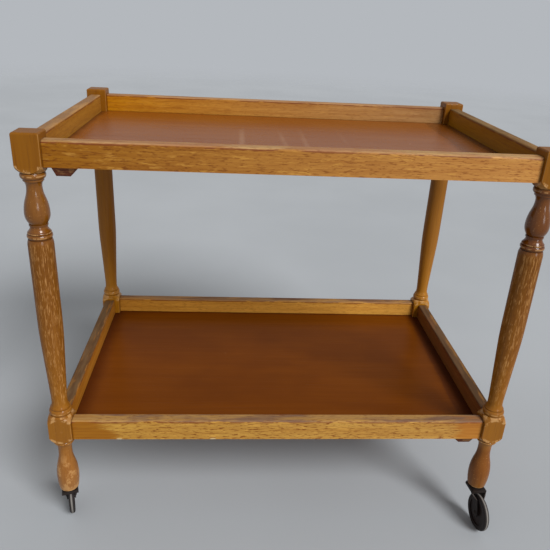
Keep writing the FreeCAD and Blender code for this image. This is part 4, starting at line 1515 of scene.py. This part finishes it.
@dataclass
class Tyre:
    """A hard tyre round a castor's wheel, with round shoulders and a narrow worn tread."""

    corner: str
    radius: float = 32.5 * MILLIMETRE
    inner_radius: float = 27.5 * MILLIMETRE
    width: float = 9 * MILLIMETRE
    shoulder: float = 3.6 * MILLIMETRE
    inner_corner: float = 0.4 * MILLIMETRE
    worn_width: float = 1.8 * MILLIMETRE
    segments: int = 128
    corner_steps: int = 6

    def build(self, material: bpy.types.Material) -> bpy.types.Object:
        """Build the tyre where the plain one is.

        Args:
            material: The rubber.

        Returns:
            The piece, which stands for the plain tyre.
        """
        shape = NodeShape(f"{self.corner}_tyre_shape", {
            "Radius": (FLOAT, self.radius),
            "Inner Radius": (FLOAT, self.inner_radius),
            "Width": (FLOAT, self.width),
            "Shoulder": (FLOAT, self.shoulder),
            "Worn Width": (FLOAT, self.worn_width),
            "Turn": (VECTOR, (math.pi / 2, 0.0, self.heading())),
        })
        given = shape.given
        middle = shape.times(shape.plus(given["Radius"], given["Inner Radius"]), 0.5)
        ring = shape.add("GeometryNodeCurvePrimitiveCircle", {
            "Resolution": self.segments, "Radius": middle,
        })
        swept = shape.add("GeometryNodeCurveToMesh", {
            "Curve": ring.outputs["Curve"], "Profile Curve": self.section(shape),
        })
        marked = shape.add("GeometryNodeStoreNamedAttribute", {
            "Geometry": swept.outputs[0], "Name": TREAD, "Value": self.worn(shape, middle),
        }, data_type="FLOAT", domain="POINT")
        stood = shape.add("GeometryNodeTransform", {
            "Geometry": marked.outputs[0], "Rotation": given["Turn"],
        })
        placed = shape.add("GeometryNodeInstanceOnPoints", {
            "Points": given["Geometry"], "Instance": stood.outputs[0],
        })
        smooth = shape.add("GeometryNodeSetShadeSmooth", {"Geometry": placed.outputs[0]})
        shape.finish(smooth.outputs[0], material)
        plain = f"{self.corner}_castor_tyre"
        low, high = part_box(plain)
        piece = shape.bake(f"{self.corner}_tyre", [(low + high) / 2])
        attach(piece, f"{self.corner}_wheel")
        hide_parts(plain)
        return piece

    def section(self, shape: NodeShape) -> Socket:
        """Draw the tyre's section, rounded more outside than inside.

        Args:
            shape: The tree.

        Returns:
            The curve.
        """
        given = shape.given
        section = shape.add("GeometryNodeCurvePrimitiveQuadrilateral", {
            "Width": shape.minus(given["Radius"], given["Inner Radius"]),
            "Height": given["Width"],
        })
        outer = shape.number("GREATER_THAN", shape.parts[0], 0.0)
        rounder = shape.minus(given["Shoulder"], self.inner_corner)
        rounded = shape.add("GeometryNodeFilletCurve", {
            "Curve": section.outputs[0],
            "Count": self.corner_steps,
            "Radius": shape.scaled(outer, rounder, self.inner_corner),
            "Limit Radius": True,
        }, mode="POLY")
        return rounded.outputs[0]

    @staticmethod
    def worn(shape: NodeShape, middle: Socket) -> Socket:
        """Mask the worn line round the tread.

        Args:
            shape: The tree.
            middle: The radius halfway through the tyre.

        Returns:
            The mask.
        """
        across, along, up = shape.parts
        half_worn = shape.times(shape.given["Worn Width"], 0.5)
        inside = shape.number("LESS_THAN", shape.unsigned(up), half_worn)
        outside = shape.number("GREATER_THAN", shape.length(across, along), middle)
        return shape.times(inside, outside)

    def heading(self) -> float:
        """Return the turn about the upright that lays the wheel's axis on its axle's."""
        joint = next(row for row in frame["joints"] if row["name"] == f"{self.corner}_wheel_roll")
        return math.atan2(joint["axis"][0], -joint["axis"][1])


# ---------------------------------------------------------------- sub-assemblies
def dress(node: str, material: bpy.types.Material) -> None:
    """Put a material on a piece of the frame.

    Args:
        node: The piece's name.
        material: Its material.
    """
    for slot in frame["nodes"][node].material_slots:
        slot.material = material
    log.info("dressed %s in %s", node, material.name)


@dataclass
class Legs:
    """Four turned legs, each one piece from its square head to the rim of its foot."""

    height: float = 0.678
    centre: tuple[float, float] = (0.358, 0.219)
    half_post: float = 0.018
    tones: tuple[tuple[float, Colour], ...] = (
        (0.076, Colour(184, 134, 78)),
        (0.106, Colour(176, 120, 58)),
        (0.160, Colour(172, 116, 46)),
        (0.180, Colour(170, 114, 24)),
        (0.216, Colour(168, 113, 20)),
        (0.232, Colour(172, 115, 30)),
        (0.350, Colour(157, 103, 32)),
        (0.500, Colour(138, 88, 20)),
        (0.540, Colour(142, 90, 22)),
        (0.585, Colour(144, 94, 26)),
        (0.620, Colour(148, 96, 26)),
        (0.632, Colour(134, 82, 4)),
        (0.678, Colour(136, 84, 6)),
    )
    quirks: tuple[tuple[float, float], ...] = (
        (0.6230, 0.0008), (0.6155, 0.0009), (0.6113, 0.0010), (0.5487, 0.0013),
        (0.5390, 0.0007), (0.5358, 0.0008), (0.5285, 0.0010), (0.2412, 0.0008),
        (0.2300, 0.0008), (0.1775, 0.0006), (0.1730, 0.0006),
    )
    crests: tuple[float, ...] = (0.6193, 0.5374, 0.5326, 0.2350, 0.1752, 0.0775)
    shoulders: tuple[tuple[float, int], ...] = ((0.6230, 1), (0.2300, -1), (0.1775, 1))

    def build(self, effects: Effects) -> None:
        """Dress the legs.

        Args:
            effects: The shared shader groups.
        """
        oak = TurnedOak(
            name="turned_oak",
            sound_roughness=0.38,
            worn_roughness=0.72,
            coat=0.65,
            coat_roughness=0.12,
            specular=0.12,
            depth=0.15 * MILLIMETRE,
            tones=self.tones,
            quirks=self.quirks,
            crests=self.crests,
            shoulders=self.shoulders,
            height=self.height,
            post_centre=self.centre,
            half_post=self.half_post,
        ).make(effects)
        for corner in CORNERS:
            dress(f"{corner}_leg", oak)


@dataclass
class Tray:
    """One tray: four rails, a bottom, glue blocks, screws and pins."""

    name: str
    top: float
    faces: dict[str, tuple[Colour, Colour]]
    bare: dict[str, tuple[Colour, Colour]]
    flecks: dict[str, float]
    veneer: TrayVeneer
    plain_end: Fade | None = None
    chips: tuple[float, ...] = ()
    half_length: float = 0.340
    half_width: float = 0.201
    outer: Colour = Colour(172, 120, 48)

    def build(
        self,
        effects: Effects,
        block: bpy.types.Material,
        steel: bpy.types.Material,
    ) -> None:
        """Dress the tray and put its screws in.

        Args:
            effects: The shared shader groups.
            block: The glue blocks' material.
            steel: The fixings' material.
        """
        for side in self.faces:
            dress(f"{self.name}_{side}_rail", self.rail(side).make(effects))
        dress(f"{self.name}_tray_bottom", self.veneer.make(effects))
        dress(f"{self.name}_glue_blocks", block)
        dress(f"{self.name}_tray_pins", steel)
        screws = SlottedScrews(self.name).build(steel)
        log.info("built %s", screws.name)

    def rail(self, side: str) -> RailOak:
        """Return the finish of a rail.

        Args:
            side: The side of the tray that it closes.

        Returns:
            The finish.
        """
        across = side in ("front", "rear")
        low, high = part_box(f"{self.name}_{side}_rail")
        return RailOak(
            name=f"{self.name}_{side}_oak",
            sound_roughness=0.4,
            worn_roughness=0.7,
            coat=0.08,
            coat_roughness=0.2,
            specular=0.13,
            depth=0.15 * MILLIMETRE,
            run=Run.ACROSS if across else Run.ALONG,
            top=self.top,
            faces=self.faces[side],
            fleck_strength=self.flecks[side],
            half_length=self.half_length if across else self.half_width,
            bare=self.bare[side],
            plain_end=self.plain_end if side == "front" else None,
            chips=self.chips if side == "front" else (),
            outer=None if across else self.outer,
            middle=abs(low.x + high.x) / 2,
        )


UPPER_TRAY = Tray(
    name="upper",
    top=0.668,
    faces={
        "front": (Colour(147, 93, 12), Colour(199, 142, 74)),
        "rear": (Colour(192, 128, 12), Colour(182, 140, 92)),
        "left": (Colour(176, 122, 36), Colour(176, 126, 50)),
        "right": (Colour(160, 110, 12), Colour(166, 114, 22)),
    },
    bare={
        "front": (Colour(184, 146, 98), Colour(170, 122, 84)),
        "rear": (Colour(176, 134, 92), Colour(150, 108, 74)),
        "left": (Colour(178, 134, 84), Colour(150, 112, 76)),
        "right": (Colour(134, 103, 62), Colour(118, 88, 50)),
    },
    flecks={"front": 0.6, "rear": 0.3, "left": 0.3, "right": 0.15},
    veneer=TrayVeneer(
        name="upper_veneer",
        light=Colour(144, 82, 22),
        dark=Colour(128, 66, 12),
        cloud=Colour(134, 70, 12),
        # Painted shade along the rails, and the right rail's painted reflection.
        edge=Colour(82, 44, 12),
        streaks=((-0.13, 0.11), (-0.075, 0.25), (-0.005, 0.2), (0.03, 0.16), (0.10, 0.08)),
        half_size=(0.350, 0.211),
        edge_width=(0.016, 0.010),
        shade_width=0.064,
        sound_roughness=0.27,
        worn_roughness=0.55,
        specular=0.1,
        depth=0.08 * MILLIMETRE,
    ),
)
LOWER_TRAY = Tray(
    name="lower",
    top=0.220,
    faces={
        "front": (Colour(192, 146, 62), Colour(194, 146, 72)),
        "rear": (Colour(206, 146, 54), Colour(224, 168, 76)),
        "left": (Colour(190, 126, 40), Colour(186, 124, 44)),
        # Painted shade: the lower right rail's inner face, which faces away from the light.
        "right": (Colour(146, 90, 44), Colour(132, 82, 38)),
    },
    bare={
        "front": (Colour(130, 98, 76), Colour(176, 134, 78)),
        "rear": (Colour(160, 120, 80), Colour(120, 84, 60)),
        "left": (Colour(114, 86, 56), Colour(94, 66, 40)),
        "right": (Colour(106, 78, 52), Colour(86, 62, 40)),
    },
    flecks={"front": 0.85, "rear": 0.4, "left": 0.2, "right": 0.15},
    veneer=TrayVeneer(
        name="lower_veneer",
        light=Colour(119, 61, 3),
        dark=Colour(104, 51, 2),
        cloud=Colour(98, 47, 3),
        # Painted shade along the rails, and the right rail's painted reflection.
        edge=Colour(74, 34, 13),
        streaks=(),
        half_size=(0.350, 0.211),
        edge_width=(0.034, 0.012),
        shade_width=0.022,
        sound_roughness=0.3,
        worn_roughness=0.6,
        specular=0.05,
        depth=0.08 * MILLIMETRE,
    ),
    plain_end=(-0.277, -0.252),
    chips=(-0.266, -0.114),
)
TRAYS = (UPPER_TRAY, LOWER_TRAY)


@dataclass
class Castors:
    """Four stem castors, each with its socket, horn, axle, wheel and tyre."""

    corners: tuple[str, ...] = CORNERS

    def build(self, effects: Effects, steel: bpy.types.Material) -> None:
        """Dress the castors and fit their tyres.

        Args:
            effects: The shared shader groups.
            steel: The stems' material.
        """
        horn = CastorMetal(
            name="blackened_horn",
            plate=Colour(46, 38, 35),
            rust=Colour(64, 44, 32),
            rusted=0.4,
            sound_roughness=0.5,
            worn_roughness=0.8,
            metallic=0.3,
            depth=0.1 * MILLIMETRE,
        ).make(effects)
        socket = CastorMetal(
            name="dulled_socket",
            plate=Colour(96, 84, 70),
            rust=Colour(84, 56, 34),
            rusted=0.55,
            sound_roughness=0.45,
            worn_roughness=0.8,
            metallic=0.7,
        ).make(effects)
        plastic = WheelPlastic(
            name="dark_phenolic",
            sound_roughness=0.42,
            worn_roughness=0.8,
        ).make(effects)
        rubber = TyreRubber(
            name="rubbed_tyre",
            sound_roughness=0.6,
            worn_roughness=0.85,
        ).make(effects)
        for corner in self.corners:
            dress(f"{corner}_castor_socket", socket)
            dress(f"{corner}_castor_stem", steel)
            dress(f"{corner}_castor_horn", horn)
            dress(f"{corner}_castor_axle", horn)
            dress(f"{corner}_castor_wheel", plastic)
            tyre = Tyre(corner).build(rubber)
            log.info("built %s", tyre.name)


# ---------------------------------------------------------------- studio
@dataclass(frozen=True)
class Sun:
    """A light far off: where it shines, how wide it looks as an angle, and how strong it is."""

    name: str
    towards: tuple[float, float, float]
    spread: float
    power: float

    def hang(self) -> None:
        """Hang the light."""
        lamp = bpy.data.lights.new(self.name, "SUN")
        lamp.angle = self.spread
        lamp.energy = self.power
        light = bpy.data.objects.new(self.name, lamp)
        light.rotation_euler = Vector(self.towards).to_track_quat("-Z", "Y").to_euler()
        bpy.context.scene.collection.objects.link(light)


@dataclass
class Studio:
    """A pale floor, a soft light high on the right, a weak low one, a fill, and the camera."""

    floor_radius: float = 9.0
    floor_sides: int = 128
    floor_fade: Fade = (8.5, 4.5)
    floor_roughness: float = 0.85
    floor_specular: float = 0.2
    floor: Colour = Colour(182, 186, 190)
    floor_cloud: Colour = Colour(176, 180, 184)
    clouds: Noise = Noise(1.6, 3.0, detail=3.0, fade=(0.3, 0.7))
    backdrop: Colour = Colour(180, 184, 189)
    ambient: float = 0.37
    lights: tuple[Sun, ...] = (
        Sun("key", (-0.45, 0.61, -0.65), spread=0.42, power=2.6),
        Sun("window", (-0.48, 0.87, -0.1), spread=0.3, power=0.34),
    )
    camera_place: tuple[float, float, float] = (-0.090189, -1.029952, 0.839725)
    camera_turn: tuple[float, float, float] = (1.15164112, -0.04756636, -0.05985137)
    lens: float = 39.316
    sensor: float = 36.0

    def build(self) -> None:
        """Set up the floor, the lights, the world and the camera."""
        self.lay_floor()
        for light in self.lights:
            light.hang()
        self.fill_world()
        self.place_camera()
        bpy.context.scene.view_settings.view_transform = "Standard"

    def lay_floor(self) -> None:
        """Lay a round floor whose edge fades into the backdrop."""
        disc = bmesh.new()
        bmesh.ops.create_circle(
            disc, cap_ends=True, segments=self.floor_sides, radius=self.floor_radius,
        )
        mesh = bpy.data.meshes.new("studio_floor")
        disc.to_mesh(mesh)
        disc.free()
        floor = bpy.data.objects.new("studio_floor", mesh)
        bpy.context.scene.collection.objects.link(floor)
        mesh.materials.append(self.floor_finish())
        log.info("laid %s", floor.name)

    def floor_finish(self) -> bpy.types.Material:
        """Build the floor's material.

        Returns:
            The material.
        """
        material = new_material("studio_floor")
        wiring = Wiring(material.node_tree)
        across, along, _ = wiring.parts
        cloud = wiring.mask(wiring.place, self.clouds)
        wiring.show(wiring.add("ShaderNodeBsdfPrincipled", {
            "Base Color": wiring.blend(cloud, self.floor_cloud, self.floor),
            "Roughness": self.floor_roughness,
            "Specular IOR Level": self.floor_specular,
            "Alpha": wiring.step(wiring.length(across, along), *self.floor_fade),
        }))
        return material

    def fill_world(self) -> None:
        """Light the world evenly, and show the backdrop's colour where nothing else is."""
        world = bpy.data.worlds.new("studio")
        world.use_nodes = True
        world.node_tree.nodes.clear()
        wiring = Wiring(world.node_tree)
        path = wiring.add("ShaderNodeLightPath").outputs
        seen = wiring.plus(path["Is Camera Ray"], path["Is Glossy Ray"])
        seen = wiring.number("MINIMUM", wiring.plus(seen, path["Is Transmission Ray"]), 1.0)
        lit = wiring.add("ShaderNodeBackground", {
            "Color": (1.0, 1.0, 1.0, 1.0), "Strength": self.ambient,
        })
        shown = wiring.add("ShaderNodeBackground", {"Color": self.backdrop, "Strength": 1.0})
        both = wiring.add("ShaderNodeMixShader", {
            0: seen, 1: lit.outputs[0], 2: shown.outputs[0],
        })
        wiring.show(both, "ShaderNodeOutputWorld")
        bpy.context.scene.world = world

    def place_camera(self) -> None:
        """Put the camera where the trolley is looked at from, a little above its front."""
        lens = bpy.data.cameras.new("camera")
        lens.lens = self.lens
        lens.sensor_width = self.sensor
        camera = bpy.data.objects.new("camera", lens)
        camera.location = self.camera_place
        camera.rotation_euler = self.camera_turn
        bpy.context.scene.collection.objects.link(camera)
        bpy.context.scene.camera = camera


def main() -> None:
    """Build the studio, the legs, both trays and the castors, in that order."""
    logging.basicConfig(level=logging.INFO, format="%(name)s: %(message)s")
    effects = Effects()
    Studio().build()
    Legs().build(effects)
    block = BlockWood(
        name="block_softwood",
        sound_roughness=0.6,
        worn_roughness=0.85,
    ).make(effects)
    steel = CastorMetal(
        name="dull_steel",
        plate=Colour(150, 146, 138),
        rust=Colour(104, 72, 46),
        rusted=0.3,
        sound_roughness=0.38,
        worn_roughness=0.75,
        metallic=0.85,
    ).make(effects)
    for tray in TRAYS:
        tray.build(effects, block, steel)
    Castors().build(effects, steel)


if __name__ == "__main__":
    main()
